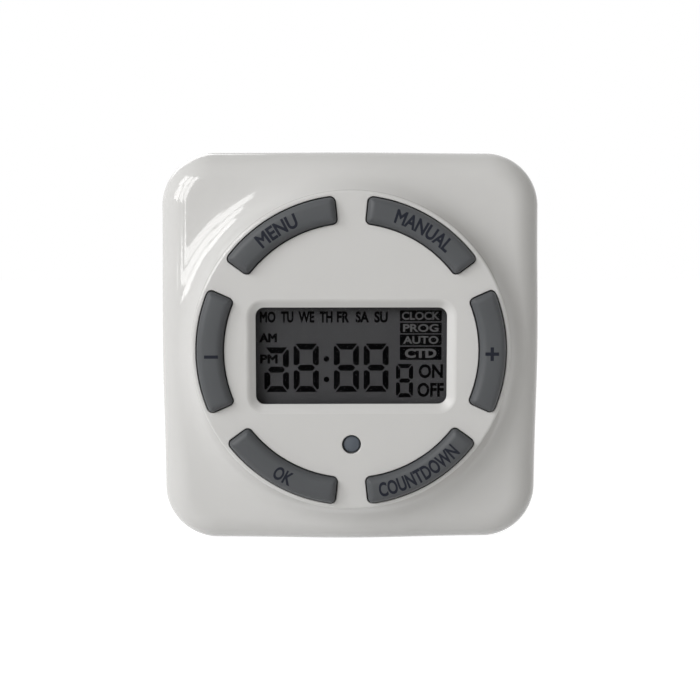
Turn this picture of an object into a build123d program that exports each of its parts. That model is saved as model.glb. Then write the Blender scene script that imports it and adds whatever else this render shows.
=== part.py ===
from build123d import *
import os
from math import cos, degrees, hypot, radians, sin

# Digital plug-in timer with a round dial of six arc-shaped keys round a display
# Sizes are millimetres, +Z is up, the front faces -Y, and the origin is the centre of the flat back
# A height is a distance in front of that back, so height h is the plane y = -h

# Body shells
body_width = 62.0
body_height = 64.0
corner_radius = 8.8
side_wall = 2.0
back_wall = 2.0
land_wall = 2.0
face_wall = 2.0
parting_height = 22.0
land_height = 29.0
dial_height = 34.0
front_edge_round = 5.2
inner_edge_cut = 2.0
back_edge_round = 1.5
seam_chamfer = 0.2
lip_thickness = 0.9
lip_height = 1.5

# Dial and the concave flare that falls from its rim to the corner lands
dial_radius = 25.35
rim_round = 0.5
rim_drop = 0.8
rim_lean = 0.05
flare_foot = 2.65
flare_belly = 3.65
flare_margin = 2.0

# Display window, its bevel and its clear lens
window_width = 30.4
window_height = 15.4
window_z = -0.75
window_corner = 1.4
bevel_width = 1.15
bevel_depth = 0.9
lens_lap = 1.45
lens_thickness = 1.2
lens_recess = 0.6

# Display glass, its frame and the rubber connectors under it
glass_lap = 1.3
glass_thickness = 2.2
lens_gap = 0.2
frame_wall = 0.8
connector_length = 28.0
connector_width = 1.8
connector_inset = 1.3
chip_radius = 4.2
chip_rise = 1.2

# Keys: ring-sector openings at equal steps round the dial, and one round reset key
key_names = ("plus", "manual", "menu", "minus", "ok", "countdown")
key_inner_radius = 20.1
key_outer_radius = 24.57
key_half_angle = 24.0
key_corner = 0.9
key_gap = 0.18
key_proud = 1.3
key_edge_round = 0.65
key_travel = 0.8
flange_lip = 0.7
flange_thickness = 0.8
flange_gap = 0.1
stem_radius = 1.7
pill_radius = 1.5
pill_thickness = 0.55
press_gap = 0.05
reset_drop = 14.8
reset_hole_radius = 1.5
reset_gap = 0.12
reset_recess = 0.3
reset_edge_cut = 0.25
reset_lip = 0.7
reset_stem_radius = 1.1

# Display board, its contact pads and the rubber sheet round the key stems
board_thickness = 1.6
display_board_height = 26.0
board_margin = 4.0
board_screw_x = 9.6
board_screw_z = 13.1
board_boss_radius = 2.3
pad_thickness = 0.1
pad_radius = 1.9
pad_split = 0.4
sheet_thickness = 0.8
sheet_radius = 26.5
crystal_radius = 1.0
crystal_length = 6.0
crystal_x = 14.0
crystal_z = 4.0

# Power board and what it carries
power_board_gap = 2.4
tube_clearance = 0.6
post_radius = 2.5
post_inset_x = 3.0
post_inset_z = 2.7
wall_clearance = 0.7
blade_clearance = 3.35
post_clearance = 1.1
relay_depth = 15.2
film_size = (13.0, 6.0, 11.5)
film_wall_clearance = 2.5
film_clearance = 1.7
electrolytic_radius = 4.0
electrolytic_length = 12.0
electrolytic_x = -14.5
electrolytic_margin = 1.2
electrolytic_clearance = 1.4
cell_radius = 5.8
cell_length = 5.4
cell_x = 3.0
cell_clearance = 1.05
varistor_radius = 4.5
varistor_thickness = 3.5
varistor_x = -5.0
varistor_inset = 2.8
diode_radius = 1.35
diode_length = 5.2
diode_pitch = 3.6
diode_start_x = 5.0
diode_inset = 3.6
diode_count = 4
component_edge = 0.5
header_pins = 6
header_pitch = 2.54
header_width = 2.5
header_inset = 2.4
pin_side = 0.64
pin_hole_radius = 0.5

# Plug: two flat blades with a round ground pin below them
blade_spacing = 12.7
blade_width = 6.35
blade_thickness = 1.52
blade_length = 17.9
blade_tip_round = 1.6
blade_hole_radius = 1.6
blade_hole_reach = 11.9
blade_drop = 24.0
shoulder_width = 9.5
shoulder_rise = 2.0
tail_width = 2.5
ground_drop = 11.9
ground_radius = 2.38
ground_length = 20.6
ground_tip_round = 2.0
ground_neck_radius = 2.1
ground_neck_rise = 0.3
collar_radius = 4.0
collar_rise = 1.0
stub_radius = 1.5
stub_rise = 1.8
retainer_thickness = 2.0
retainer_left = -9.0
retainer_right = 8.4
retainer_margin_top = 9.6
retainer_margin_bottom = 9.5
retainer_screw_inset = 2.7

# Side outlet on the right wall, with its contacts in a moulded carrier
outlet_height = 11.2
outlet_step = 2.0
neutral_slot = 8.1
hot_slot = 6.9
slot_width = 2.0
ground_hole_radius = 2.7
outlet_margin = 2.4
outlet_depth = 17.0
outlet_recess = 0.3
outlet_flange = 1.5
carrier_back_x = 10.4
carrier_top = 20.0
carrier_margin = 0.7
pocket_width = 3.6
pocket_length = 9.6
pocket_floor = 1.0
contact_sheet = 0.5
contact_width = 8.0
contact_pinch = 0.85
contact_spread = 1.3
contact_mouth = 1.2
contact_throat = 3.0
tail_x = 9.6
tail_offset = 2.5
sleeve_clearance = 0.15
strap_thickness = 0.8
strap_width = 5.0

# Screws
housing_screw_inset = 7.0
tube_radius = 4.4
housing_boss_radius = 3.0
housing_boss_gap = 0.3
housing_screw_radius = 1.45
housing_head_radius = 2.7
housing_head_rise = 2.0
housing_head_height = 9.0
housing_tip_cover = 1.5
small_screw_radius = 0.95
small_head_radius = 1.9
small_head_rise = 1.3
small_tip_reach = 5.0
cross_length_share = 0.62
cross_width = 0.6

# Fits shared by several pieces
fit_gap = 0.1
slide_gap = 0.3
thread_gap = 0.03
joint_sink = 0.5
solder_reach = 0.3

# Worked out from the sizes above
face_back = dial_height - face_wall
land_back = land_height - land_wall
flare_end = hypot(body_width, body_height) / 2 + flare_margin
cavity_radius = key_outer_radius + key_gap
lens_front = face_back + lens_recess
lens_back = lens_front - lens_thickness
lens_width = window_width + 2 * lens_lap
lens_rise = window_height + 2 * lens_lap
glass_front = lens_back - lens_gap
glass_back = glass_front - glass_thickness
glass_width = window_width + 2 * glass_lap
glass_rise = window_height + 2 * glass_lap
frame_width = glass_width + 2 * (fit_gap + frame_wall)
frame_rise = glass_rise + 2 * (fit_gap + frame_wall)
connector_offset = glass_rise / 2 - connector_inset
key_middle = (key_inner_radius + key_outer_radius) / 2
key_step = 360 / len(key_names)
cap_front = dial_height + key_proud
flange_front = face_back - flange_gap
flange_back = flange_front - flange_thickness
pad_front = display_board_height + pad_thickness
pill_back = pad_front + press_gap + key_travel
stem_back = pill_back + pill_thickness
reset_z = -reset_drop
reset_radius = reset_hole_radius - reset_gap
display_board_back = display_board_height - board_thickness
display_board_side = body_width - 2 * board_margin
display_board_rise = body_height - 2 * board_margin
power_board_front = display_board_back - power_board_gap
power_board_back = power_board_front - board_thickness
housing_screw_x = body_width / 2 - housing_screw_inset
housing_screw_z = body_height / 2 - housing_screw_inset
inner_wall_x = body_width / 2 - side_wall
power_board_side = body_width - 2 * board_margin
power_board_rise = 2 * (housing_screw_z - tube_radius - tube_clearance)
post_x = power_board_side / 2 - post_inset_x
post_z = power_board_rise / 2 - post_inset_z
blade_z = body_height / 2 - blade_drop
ground_z = blade_z - ground_drop
retainer_top = blade_z + retainer_margin_top
retainer_bottom = ground_z - retainer_margin_bottom
retainer_back = back_wall + shoulder_rise
outlet_z = blade_z - outlet_step
outlet_ground_z = outlet_z - ground_drop
outlet_top = outlet_z + neutral_slot / 2 + outlet_margin
outlet_bottom = outlet_ground_z - ground_hole_radius - outlet_margin
outlet_middle_z = (outlet_top + outlet_bottom) / 2
outlet_rise = outlet_top - outlet_bottom
outlet_front_x = body_width / 2 - outlet_recess
outlet_back_x = inner_wall_x - outlet_flange
carrier_front_x = outlet_back_x - fit_gap
neutral_height = outlet_height + blade_spacing / 2
hot_height = outlet_height - blade_spacing / 2
contact_back_x = carrier_back_x + pocket_floor + contact_sheet
contact_front_x = carrier_front_x - contact_mouth
solder_front = power_board_front + solder_reach
electrolytic_z = electrolytic_margin + electrolytic_radius - power_board_rise / 2
film_x = film_wall_clearance + film_size[0] / 2 - inner_wall_x
film_z = electrolytic_z + electrolytic_radius + electrolytic_clearance + film_size[1] / 2
relay_left = wall_clearance - inner_wall_x
relay_right = -blade_spacing / 2 - blade_clearance
relay_bottom = film_z + film_size[1] / 2 + film_clearance
relay_top = post_z - post_radius - post_clearance
header_z = header_inset - power_board_rise / 2
cell_z = header_z + header_width / 2 + cell_clearance + cell_radius
varistor_z = power_board_rise / 2 - varistor_inset
diode_z = power_board_rise / 2 - diode_inset


def face_plane(height):
    """A plane parallel to the back at a height, with local x to the right and local y up."""
    return Plane.XZ.offset(height)


def key_plane(height, angle):
    """The face plane turned about the dial's axis, so that local x points at a key."""
    turn = radians(angle)
    return Plane(origin=(0, -height, 0), x_dir=(cos(turn), 0, sin(turn)), z_dir=(0, -1, 0))


def save(piece, name):
    """Labels a finished piece and writes its file."""
    piece.part.label = name
    export_step(piece.part, f"parts/{name}.step")


def body_outline(grow):
    """The rounded square of the body, grown or shrunk all round."""
    RectangleRounded(body_width + 2 * grow, body_height + 2 * grow, corner_radius + grow)


def block(middle, size, low, high, mode=Mode.ADD):
    """Adds or cuts a box between two heights, centred on a point of the face plane."""
    with BuildSketch(face_plane(low)) as outline:
        with Locations(middle):
            Rectangle(*size)
    extrude(outline.sketch, amount=high - low, mode=mode)


def posts(points, radius, low, high, mode=Mode.ADD):
    """Adds or cuts a round post between two heights at each point of the face plane."""
    with BuildSketch(face_plane(low)) as outline:
        with Locations(*points):
            Circle(radius)
    extrude(outline.sketch, amount=high - low, mode=mode)


def corners(x, z):
    """The four points that mirror one point in both centre lines."""
    return [(x, z), (-x, z), (-x, -z), (x, -z)]


def ring_sector(inner, outer, half_angle, round_radius=0.0):
    """A ring sector centred on local +X: two arcs joined by two radial ends."""
    with BuildLine() as outline:
        outer_arc = CenterArc((0, 0), outer, -half_angle, 2 * half_angle)
        inner_arc = CenterArc((0, 0), inner, -half_angle, 2 * half_angle)
        Line(outer_arc @ 0, inner_arc @ 0)
        Line(outer_arc @ 1, inner_arc @ 1)
    sector = make_face(outline.edges())
    if round_radius > 0:
        fillet(sector.vertices(), round_radius)


def key_outline(grow):
    """The key's opening, grown or shrunk all round."""
    half_angle = key_half_angle + degrees(grow / key_middle)
    ring_sector(key_inner_radius - grow, key_outer_radius + grow, half_angle, key_corner + grow)


def front_face(piece):
    """The face of a piece that lies furthest forward."""
    return piece.faces().sort_by(Axis.Y)[0]


def back_face(piece):
    """The face of a piece that lies furthest back."""
    return piece.faces().sort_by(Axis.Y)[-1]


housing_screws_at = corners(housing_screw_x, housing_screw_z)
board_screws_at = corners(board_screw_x, board_screw_z)
power_posts_at = corners(post_x, post_z)
retainer_screws_at = [
    (0, retainer_top - retainer_screw_inset),
    (0, retainer_bottom + retainer_screw_inset),
]
key_stems_at = [Vector(key_middle, 0).rotate(Axis.Z, key_step * i) for i in range(len(key_names))]
stem_points = [(point.X, point.Y) for point in key_stems_at]
header_points = [
    ((i - (header_pins - 1) / 2) * header_pitch, header_z) for i in range(header_pins)
]


def make_front_cover():
    """The white front shell: dial, flare, window, key openings, screw bosses and lip rebate."""
    with BuildPart() as cavity:
        with BuildSketch(face_plane(parting_height - joint_sink)):
            body_outline(-side_wall)
        extrude(amount=land_back - parting_height + joint_sink)
        chamfer(front_face(cavity).edges(), inner_edge_cut)
        with BuildSketch(face_plane(parting_height)):
            Circle(cavity_radius)
        extrude(amount=face_back - parting_height)

    with BuildPart() as cover:
        with BuildSketch(face_plane(parting_height)):
            body_outline(0)
        extrude(amount=dial_height - parting_height)
        with BuildSketch(Plane.XY):
            with BuildLine():
                rim_foot = (dial_radius + rim_lean, rim_drop - dial_height)
                Bezier(
                    rim_foot,
                    (dial_radius + flare_foot, -land_height),
                    (dial_radius + flare_belly, -land_height),
                    (flare_end, -land_height),
                )
                Polyline(
                    (flare_end, -land_height),
                    (flare_end, -parting_height),
                    (0, -parting_height),
                    (0, -dial_height),
                    (dial_radius, -dial_height),
                    rim_foot,
                )
            make_face()
        revolve(axis=Axis.Y, mode=Mode.INTERSECT)
        outer_edges = cover.edges().filter_by(
            lambda edge: hypot(edge.center().X, edge.center().Z) > dial_radius + rim_round
            and -edge.center().Y > land_height - joint_sink
        )
        fillet(outer_edges, front_edge_round)
        fillet(front_face(cover).edges(), rim_round)
        add(cavity.part, mode=Mode.SUBTRACT)

        # Rebate for the rear housing's lip, and a fine groove along the seam
        with BuildSketch(face_plane(parting_height)):
            body_outline(lip_thickness + fit_gap - side_wall)
        extrude(amount=lip_height + fit_gap, mode=Mode.SUBTRACT)
        chamfer(back_face(cover).outer_wire().edges(), seam_chamfer)

        # Bevelled window with a shallow seat behind it for the lens
        with BuildSketch(face_plane(dial_height)):
            with Locations((0, window_z)):
                RectangleRounded(
                    window_width + 2 * bevel_width,
                    window_height + 2 * bevel_width,
                    window_corner + bevel_width,
                )
        with BuildSketch(face_plane(dial_height - bevel_depth)):
            with Locations((0, window_z)):
                RectangleRounded(window_width, window_height, window_corner)
        loft(mode=Mode.SUBTRACT)
        with BuildSketch(face_plane(face_back)):
            with Locations((0, window_z)):
                RectangleRounded(window_width, window_height, window_corner)
        extrude(amount=face_wall, mode=Mode.SUBTRACT)
        with BuildSketch(face_plane(face_back)):
            with Locations((0, window_z)):
                Rectangle(lens_width + 2 * fit_gap, lens_rise + 2 * fit_gap)
        extrude(amount=lens_recess, mode=Mode.SUBTRACT)

        # Openings for the six keys and the reset key
        for i in range(len(key_names)):
            with BuildSketch(key_plane(face_back, key_step * i)):
                key_outline(0)
            extrude(amount=face_wall, mode=Mode.SUBTRACT)
        posts([(0, reset_z)], reset_hole_radius, face_back, dial_height, Mode.SUBTRACT)

        # Bosses for the display board's screws and for the housing screws
        posts(board_screws_at, board_boss_radius, display_board_height, face_back + joint_sink)
        screw_end = display_board_back + small_tip_reach + joint_sink
        bore = small_screw_radius + thread_gap
        posts(board_screws_at, bore, display_board_height, screw_end, Mode.SUBTRACT)
        boss_end = parting_height + housing_boss_gap
        posts(housing_screws_at, housing_boss_radius, boss_end, land_back + joint_sink)
        bore = housing_screw_radius + thread_gap
        bore_end = land_height - housing_tip_cover + joint_sink
        posts(housing_screws_at, bore, boss_end, bore_end, Mode.SUBTRACT)
    save(cover, "front_cover")


def make_rear_housing():
    """The white rear shell: back wall, plug slots, outlet opening, screw tubes and posts."""
    with BuildPart() as housing:
        with BuildSketch(face_plane(0)):
            body_outline(0)
        extrude(amount=parting_height)
        fillet(back_face(housing).edges(), back_edge_round)
        chamfer(front_face(housing).edges(), seam_chamfer)
        with BuildSketch(face_plane(parting_height)):
            body_outline(lip_thickness - side_wall)
        extrude(amount=lip_height)
        with BuildSketch(face_plane(back_wall)):
            body_outline(-side_wall)
        extrude(amount=parting_height + lip_height - back_wall, mode=Mode.SUBTRACT)

        posts(housing_screws_at, tube_radius, back_wall - joint_sink, parting_height)
        posts(power_posts_at, post_radius, back_wall - joint_sink, power_board_back)
        posts(retainer_screws_at, post_radius, back_wall - joint_sink, retainer_back)

        # Screw holes: deep head recesses from the back, blind bores in the posts
        head_bore = housing_head_radius + slide_gap
        posts(housing_screws_at, head_bore, 0, housing_head_height, Mode.SUBTRACT)
        shank_bore = housing_screw_radius + fit_gap
        posts(housing_screws_at, shank_bore, 0, parting_height, Mode.SUBTRACT)
        bore = small_screw_radius + thread_gap
        post_bore = power_board_front - small_tip_reach - joint_sink
        posts(power_posts_at, bore, post_bore, power_board_back, Mode.SUBTRACT)
        tip = retainer_back + retainer_thickness - small_tip_reach
        posts(retainer_screws_at, bore, tip, retainer_back, Mode.SUBTRACT)

        # Slots for the blades and a hole for the ground pin
        slot = (blade_thickness + 2 * fit_gap, blade_width + 2 * fit_gap)
        for side in (-1, 1):
            block((side * blade_spacing / 2, blade_z), slot, 0, back_wall, Mode.SUBTRACT)
        posts([(0, ground_z)], ground_radius + fit_gap, 0, back_wall, Mode.SUBTRACT)

        # Opening in the right wall for the outlet's face
        with BuildSketch(Plane.YZ.offset(inner_wall_x - joint_sink)):
            with Locations((-outlet_height, outlet_middle_z)):
                Rectangle(outlet_depth, outlet_rise)
        extrude(amount=side_wall + 2 * joint_sink, mode=Mode.SUBTRACT)
    save(housing, "rear_housing")


def make_display_window():
    """The clear lens in its seat behind the window."""
    with BuildPart() as lens:
        block((0, window_z), (lens_width, lens_rise), lens_back, lens_front)
    save(lens, "display_window")


def make_display_glass():
    """The liquid crystal glass: a wide lower pane with a shorter upper pane on it."""
    with BuildPart() as glass:
        middle_height = (glass_front + glass_back) / 2
        block((0, window_z), (glass_width, glass_rise), glass_back, middle_height)
        upper_rise = glass_rise - glass_lap
        block((0, window_z), (glass_width, upper_rise), middle_height, glass_front)
    save(glass, "display_glass")


def make_display_frame():
    """The frame that stands on the board and holds the glass over its rubber connectors."""
    with BuildPart() as frame:
        middle = (0, window_z)
        frame_front = (glass_front + glass_back) / 2
        block(middle, (frame_width, frame_rise), display_board_height, frame_front)
        pocket = (glass_width + 2 * fit_gap, glass_rise + 2 * fit_gap)
        block(middle, pocket, glass_back, frame_front, Mode.SUBTRACT)
        for side in (-1, 1):
            seat = (connector_length + 2 * fit_gap, connector_width + 2 * fit_gap)
            seat_middle = (0, window_z + side * connector_offset)
            block(seat_middle, seat, display_board_height, glass_back, Mode.SUBTRACT)
        well_rise = 2 * (connector_offset - connector_width / 2 - fit_gap - frame_wall)
        well = (connector_length, well_rise)
        block(middle, well, display_board_height, glass_back, Mode.SUBTRACT)
    save(frame, "display_frame")


def make_rubber_connectors():
    """The two conductive rubber strips from the board to the glass."""
    with BuildPart() as connectors:
        for side in (-1, 1):
            middle = (0, window_z + side * connector_offset)
            size = (connector_length, connector_width)
            block(middle, size, display_board_height, glass_back)
    save(connectors, "rubber_connectors")


def make_display_board():
    """The front circuit board, notched round the housing bosses."""
    notch_x = display_board_side / 2 - housing_screw_x + housing_boss_radius + slide_gap
    notch_z = display_board_rise / 2 - housing_screw_z + housing_boss_radius + slide_gap
    with BuildPart() as board:
        with BuildSketch(face_plane(display_board_back)):
            Rectangle(display_board_side, display_board_rise)
            with GridLocations(display_board_side, display_board_rise, 2, 2):
                Rectangle(2 * notch_x, 2 * notch_z, mode=Mode.SUBTRACT)
            with Locations(*board_screws_at):
                Circle(small_screw_radius + slide_gap, mode=Mode.SUBTRACT)
            with Locations(*header_points):
                Circle(pin_hole_radius, mode=Mode.SUBTRACT)
        extrude(amount=board_thickness)
    save(board, "display_board")


def make_controller_chip():
    """The controller under its low drop of black resin, in the well of the display frame."""
    with BuildPart() as chip:
        with BuildSketch(Plane.XY.offset(window_z)):
            with BuildLine():
                base = display_board_height
                ThreePointArc(
                    (-chip_radius, -base),
                    (0, -base - chip_rise),
                    (chip_radius, -base),
                )
                Line((-chip_radius, -base), (chip_radius, -base))
            make_face()
            with Locations((-chip_radius, -base)):
                Rectangle(2 * chip_radius, 4 * chip_rise, mode=Mode.SUBTRACT)
        revolve(axis=Axis((0, 0, window_z), (0, 1, 0)))
    save(chip, "controller_chip")


def make_crystal():
    """The quartz can that lies on the back of the display board."""
    with BuildPart() as crystal:
        with BuildSketch(Plane.YZ.offset(crystal_x - crystal_length / 2)):
            with Locations((crystal_radius - display_board_back, crystal_z)):
                Circle(crystal_radius)
        extrude(amount=crystal_length)
    save(crystal, "quartz_crystal")


def make_contact_pads():
    """Pairs of carbon half discs on the display board, one pair under each key."""
    with BuildPart() as pads:
        places = stem_points + [(0, reset_z)]
        posts(places, pad_radius, display_board_height, pad_front)
        for place in places:
            cut = (pad_split, 2 * pad_radius + joint_sink)
            block(place, cut, display_board_height, pad_front, Mode.SUBTRACT)
    save(pads, "contact_pads")


def make_keypad_sheet():
    """The rubber sheet on the display board, open round the stems, the frame and the bosses."""
    with BuildPart() as sheet:
        with BuildSketch(face_plane(display_board_height)):
            Circle(sheet_radius)
            Rectangle(display_board_side, display_board_rise, mode=Mode.INTERSECT)
            with Locations((0, window_z)):
                Rectangle(
                    frame_width + 2 * slide_gap,
                    frame_rise + 2 * slide_gap,
                    mode=Mode.SUBTRACT,
                )
            with Locations(*stem_points):
                Circle(stem_radius + slide_gap + fit_gap, mode=Mode.SUBTRACT)
            with Locations(*board_screws_at):
                Circle(board_boss_radius + slide_gap, mode=Mode.SUBTRACT)
            with Locations((0, reset_z)):
                Circle(pad_radius + slide_gap, mode=Mode.SUBTRACT)
        extrude(amount=sheet_thickness)
    save(sheet, "keypad_sheet")


def make_key(name, angle):
    """One arc-shaped key: a rounded cap, a flange behind the cover and a stem to the board."""
    with BuildPart() as key:
        with BuildSketch(key_plane(flange_front, angle)):
            key_outline(-key_gap)
        extrude(amount=cap_front - flange_front)
        fillet(front_face(key).edges(), key_edge_round)
        with BuildSketch(key_plane(flange_back, angle)):
            half_angle = key_half_angle + degrees((flange_lip - key_gap) / key_middle)
            ring_sector(key_inner_radius - flange_lip, key_outer_radius - key_gap, half_angle)
        extrude(amount=flange_thickness)
        with BuildSketch(key_plane(stem_back, angle)):
            with Locations((key_middle, 0)):
                Circle(stem_radius)
        extrude(amount=flange_back - stem_back)
    save(key, f"key_{name}")


def make_pill(name, place, radius):
    """The conductive pill on the end of a key's stem."""
    with BuildPart() as pill:
        posts([place], radius, pill_back, stem_back)
    save(pill, f"pill_{name}")


def make_reset_key():
    """The small round key below the display, a little below the dial's face."""
    with BuildPart() as key:
        posts([(0, reset_z)], reset_radius, flange_front, dial_height - reset_recess)
        chamfer(front_face(key).edges(), reset_edge_cut)
        posts([(0, reset_z)], reset_hole_radius + reset_lip, flange_back, flange_front)
        posts([(0, reset_z)], reset_stem_radius, stem_back, flange_back)
    save(key, "key_reset")


def screw(points, head_back, head_rise, head_radius, shank_radius, shank_end):
    """Pan-head screws driven forward: the head's underside is at head_back plus head_rise."""
    seat = head_back + head_rise
    posts(points, head_radius, head_back, seat)
    posts(points, shank_radius, seat, shank_end)
    cross = 2 * head_radius * cross_length_share
    for point in points:
        block(point, (cross, cross_width), head_back, head_back + head_rise / 2, Mode.SUBTRACT)
        block(point, (cross_width, cross), head_back, head_back + head_rise / 2, Mode.SUBTRACT)


def screw_backward(points, seat, shank_end):
    """Small pan-head screws driven back: the head stands in front of its seat."""
    head_front = seat + small_head_rise
    posts(points, small_head_radius, seat, head_front)
    posts(points, small_screw_radius, shank_end, seat)
    cross = 2 * small_head_radius * cross_length_share
    cut_back = head_front - small_head_rise / 2
    for point in points:
        block(point, (cross, cross_width), cut_back, head_front, Mode.SUBTRACT)
        block(point, (cross_width, cross), cut_back, head_front, Mode.SUBTRACT)


def make_screws():
    """Four housing screws and the small screws of the two boards and the blade retainer."""
    with BuildPart() as housing:
        head_back = housing_head_height - housing_head_rise
        tip = land_height - housing_tip_cover
        screw(
            housing_screws_at,
            head_back,
            housing_head_rise,
            housing_head_radius,
            housing_screw_radius,
            tip,
        )
    save(housing, "housing_screws")

    with BuildPart() as display:
        head_back = display_board_back - small_head_rise
        screw(
            board_screws_at,
            head_back,
            small_head_rise,
            small_head_radius,
            small_screw_radius,
            display_board_back + small_tip_reach,
        )
    save(display, "display_board_screws")

    with BuildPart() as power:
        screw_backward(power_posts_at, power_board_front, power_board_front - small_tip_reach)
    save(power, "power_board_screws")

    with BuildPart() as retainer:
        seat = retainer_back + retainer_thickness
        screw_backward(retainer_screws_at, seat, seat - small_tip_reach + joint_sink)
    save(retainer, "retainer_screws")


def make_power_board():
    """The rear circuit board on its four posts."""
    with BuildPart() as board:
        with BuildSketch(face_plane(power_board_back)):
            Rectangle(power_board_side, power_board_rise)
            with Locations(*power_posts_at):
                Circle(small_screw_radius + slide_gap, mode=Mode.SUBTRACT)
            with Locations(*header_points):
                Circle(pin_hole_radius, mode=Mode.SUBTRACT)
            tail_hole = blade_thickness + 2 * fit_gap
            with Locations((-blade_spacing / 2, blade_z), (blade_spacing / 2, blade_z)):
                Rectangle(tail_hole, tail_width + 2 * fit_gap, mode=Mode.SUBTRACT)
            contact_hole = contact_sheet + 2 * fit_gap
            with Locations((tail_x, outlet_z + tail_offset), (tail_x, outlet_z - tail_offset)):
                Rectangle(contact_hole, tail_width + 2 * fit_gap, mode=Mode.SUBTRACT)
        extrude(amount=board_thickness)
    save(board, "power_board")


def make_relay():
    """The relay that switches the outlet, under the power board."""
    middle = ((relay_left + relay_right) / 2, (relay_bottom + relay_top) / 2)
    size = (relay_right - relay_left, relay_top - relay_bottom)
    with BuildPart() as relay:
        block(middle, size, power_board_back - relay_depth, power_board_back)
        fillet(relay.edges().filter_by(Axis.Y), component_edge)
    save(relay, "relay")


def make_film_capacitor():
    """The boxed film capacitor of the mains dropper."""
    width, rise, depth = film_size
    with BuildPart() as capacitor:
        block((film_x, film_z), (width, rise), power_board_back - depth, power_board_back)
        fillet(capacitor.edges().filter_by(Axis.Y), component_edge)
    save(capacitor, "film_capacitor")


def make_round_parts():
    """The electrolytic capacitor and the backup cell, both standing on the power board."""
    with BuildPart() as electrolytic:
        low = power_board_back - electrolytic_length
        place = (electrolytic_x, electrolytic_z)
        posts([place], electrolytic_radius, low, power_board_back)
        chamfer(back_face(electrolytic).edges(), component_edge)
    save(electrolytic, "electrolytic_capacitor")

    with BuildPart() as cell:
        low = power_board_back - cell_length
        posts([(cell_x, cell_z)], cell_radius, low, power_board_back)
        chamfer(back_face(cell).edges(), component_edge)
    save(cell, "backup_cell")


def make_varistor():
    """The disc that guards the board from mains surges, standing on its edge."""
    with BuildPart() as varistor:
        with BuildSketch(Plane.XY.offset(varistor_z - varistor_thickness / 2)):
            with Locations((varistor_x, varistor_radius - power_board_back)):
                Circle(varistor_radius)
        extrude(amount=varistor_thickness)
        chamfer(varistor.edges(), component_edge)
    save(varistor, "varistor")


def make_diodes():
    """The rectifier's diodes in a row on the power board."""
    with BuildPart() as diodes:
        with BuildSketch(Plane.XY.offset(diode_z - diode_length / 2)):
            for i in range(diode_count):
                x = diode_start_x + i * diode_pitch
                with Locations((x, diode_radius - power_board_back)):
                    Circle(diode_radius)
        extrude(amount=diode_length)
    save(diodes, "rectifier_diodes")


def make_board_header():
    """The pin header that joins the two boards."""
    with BuildPart() as header:
        size = (header_pins * header_pitch, header_width)
        block((0, header_z), size, power_board_front, display_board_back)
        for point in header_points:
            low = power_board_back - solder_reach
            high = display_board_height - fit_gap
            block(point, (pin_side, pin_side), low, high)
    save(header, "board_header")


def make_blade(name, side):
    """One flat plug blade with its shoulder inside the back wall and its tail to the board."""
    x = side * blade_spacing / 2 - blade_thickness / 2
    with BuildPart() as blade:
        with BuildSketch(Plane.YZ.offset(x)) as outline:
            with Locations((blade_length / 2 - back_wall / 2, blade_z)):
                Rectangle(blade_length + back_wall, blade_width)
            fillet(outline.vertices().group_by(Axis.X)[-1], blade_tip_round)
            with Locations((-back_wall - shoulder_rise / 2, blade_z)):
                Rectangle(shoulder_rise, shoulder_width)
            tail_length = solder_front - retainer_back
            with Locations((-retainer_back - tail_length / 2, blade_z)):
                Rectangle(tail_length, tail_width)
            with Locations((blade_hole_reach, blade_z)):
                Circle(blade_hole_radius, mode=Mode.SUBTRACT)
        extrude(amount=blade_thickness)
    save(blade, f"{name}_blade")


def make_ground_pin():
    """The round ground pin: a neck through the wall, a collar inside it and a stub for the strap."""
    with BuildPart() as pin:
        posts([(0, ground_z)], ground_radius, -ground_length, -ground_neck_rise)
        fillet(back_face(pin).edges(), ground_tip_round)
        posts([(0, ground_z)], ground_neck_radius, -ground_neck_rise, back_wall)
        posts([(0, ground_z)], collar_radius, back_wall, back_wall + collar_rise)
        stub_back = back_wall + collar_rise
        posts([(0, ground_z)], stub_radius, stub_back, stub_back + stub_rise)
    save(pin, "ground_pin")


def make_blade_retainer():
    """The plate that clamps the blades' shoulders against the back wall."""
    middle = ((retainer_left + retainer_right) / 2, (retainer_top + retainer_bottom) / 2)
    size = (retainer_right - retainer_left, retainer_top - retainer_bottom)
    retainer_front = retainer_back + retainer_thickness
    with BuildPart() as retainer:
        block(middle, size, retainer_back, retainer_front)
        fillet(retainer.edges().filter_by(Axis.Y), retainer_thickness)
        tail_slot = (blade_thickness + 2 * fit_gap, tail_width + 2 * fit_gap)
        for side in (-1, 1):
            place = (side * blade_spacing / 2, blade_z)
            block(place, tail_slot, retainer_back, retainer_front, Mode.SUBTRACT)
        hole = stub_radius + fit_gap
        posts([(0, ground_z)], hole, retainer_back, retainer_front, Mode.SUBTRACT)
        hole = small_screw_radius + fit_gap
        posts(retainer_screws_at, hole, retainer_back, retainer_front, Mode.SUBTRACT)
    save(retainer, "blade_retainer")


def make_outlet_face():
    """The outlet's face in the right wall: two slots and a round ground hole."""
    with BuildPart() as face:
        place = (-outlet_height, outlet_middle_z)
        with BuildSketch(Plane.YZ.offset(outlet_back_x)):
            with Locations(place):
                Rectangle(outlet_depth - 2 * fit_gap, outlet_rise + 2 * outlet_flange)
        extrude(amount=outlet_flange)
        with BuildSketch(Plane.YZ.offset(inner_wall_x)):
            with Locations(place):
                Rectangle(outlet_depth - 2 * fit_gap, outlet_rise - 2 * fit_gap)
        extrude(amount=outlet_front_x - inner_wall_x)
        with BuildSketch(Plane.YZ.offset(outlet_back_x)):
            with Locations((-neutral_height, outlet_z)):
                Rectangle(slot_width, neutral_slot)
            with Locations((-hot_height, outlet_z)):
                Rectangle(slot_width, hot_slot)
            with Locations((-outlet_height, outlet_ground_z)):
                Circle(ground_hole_radius)
        extrude(amount=outlet_front_x - outlet_back_x, mode=Mode.SUBTRACT)
    save(face, "outlet_face")


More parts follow.
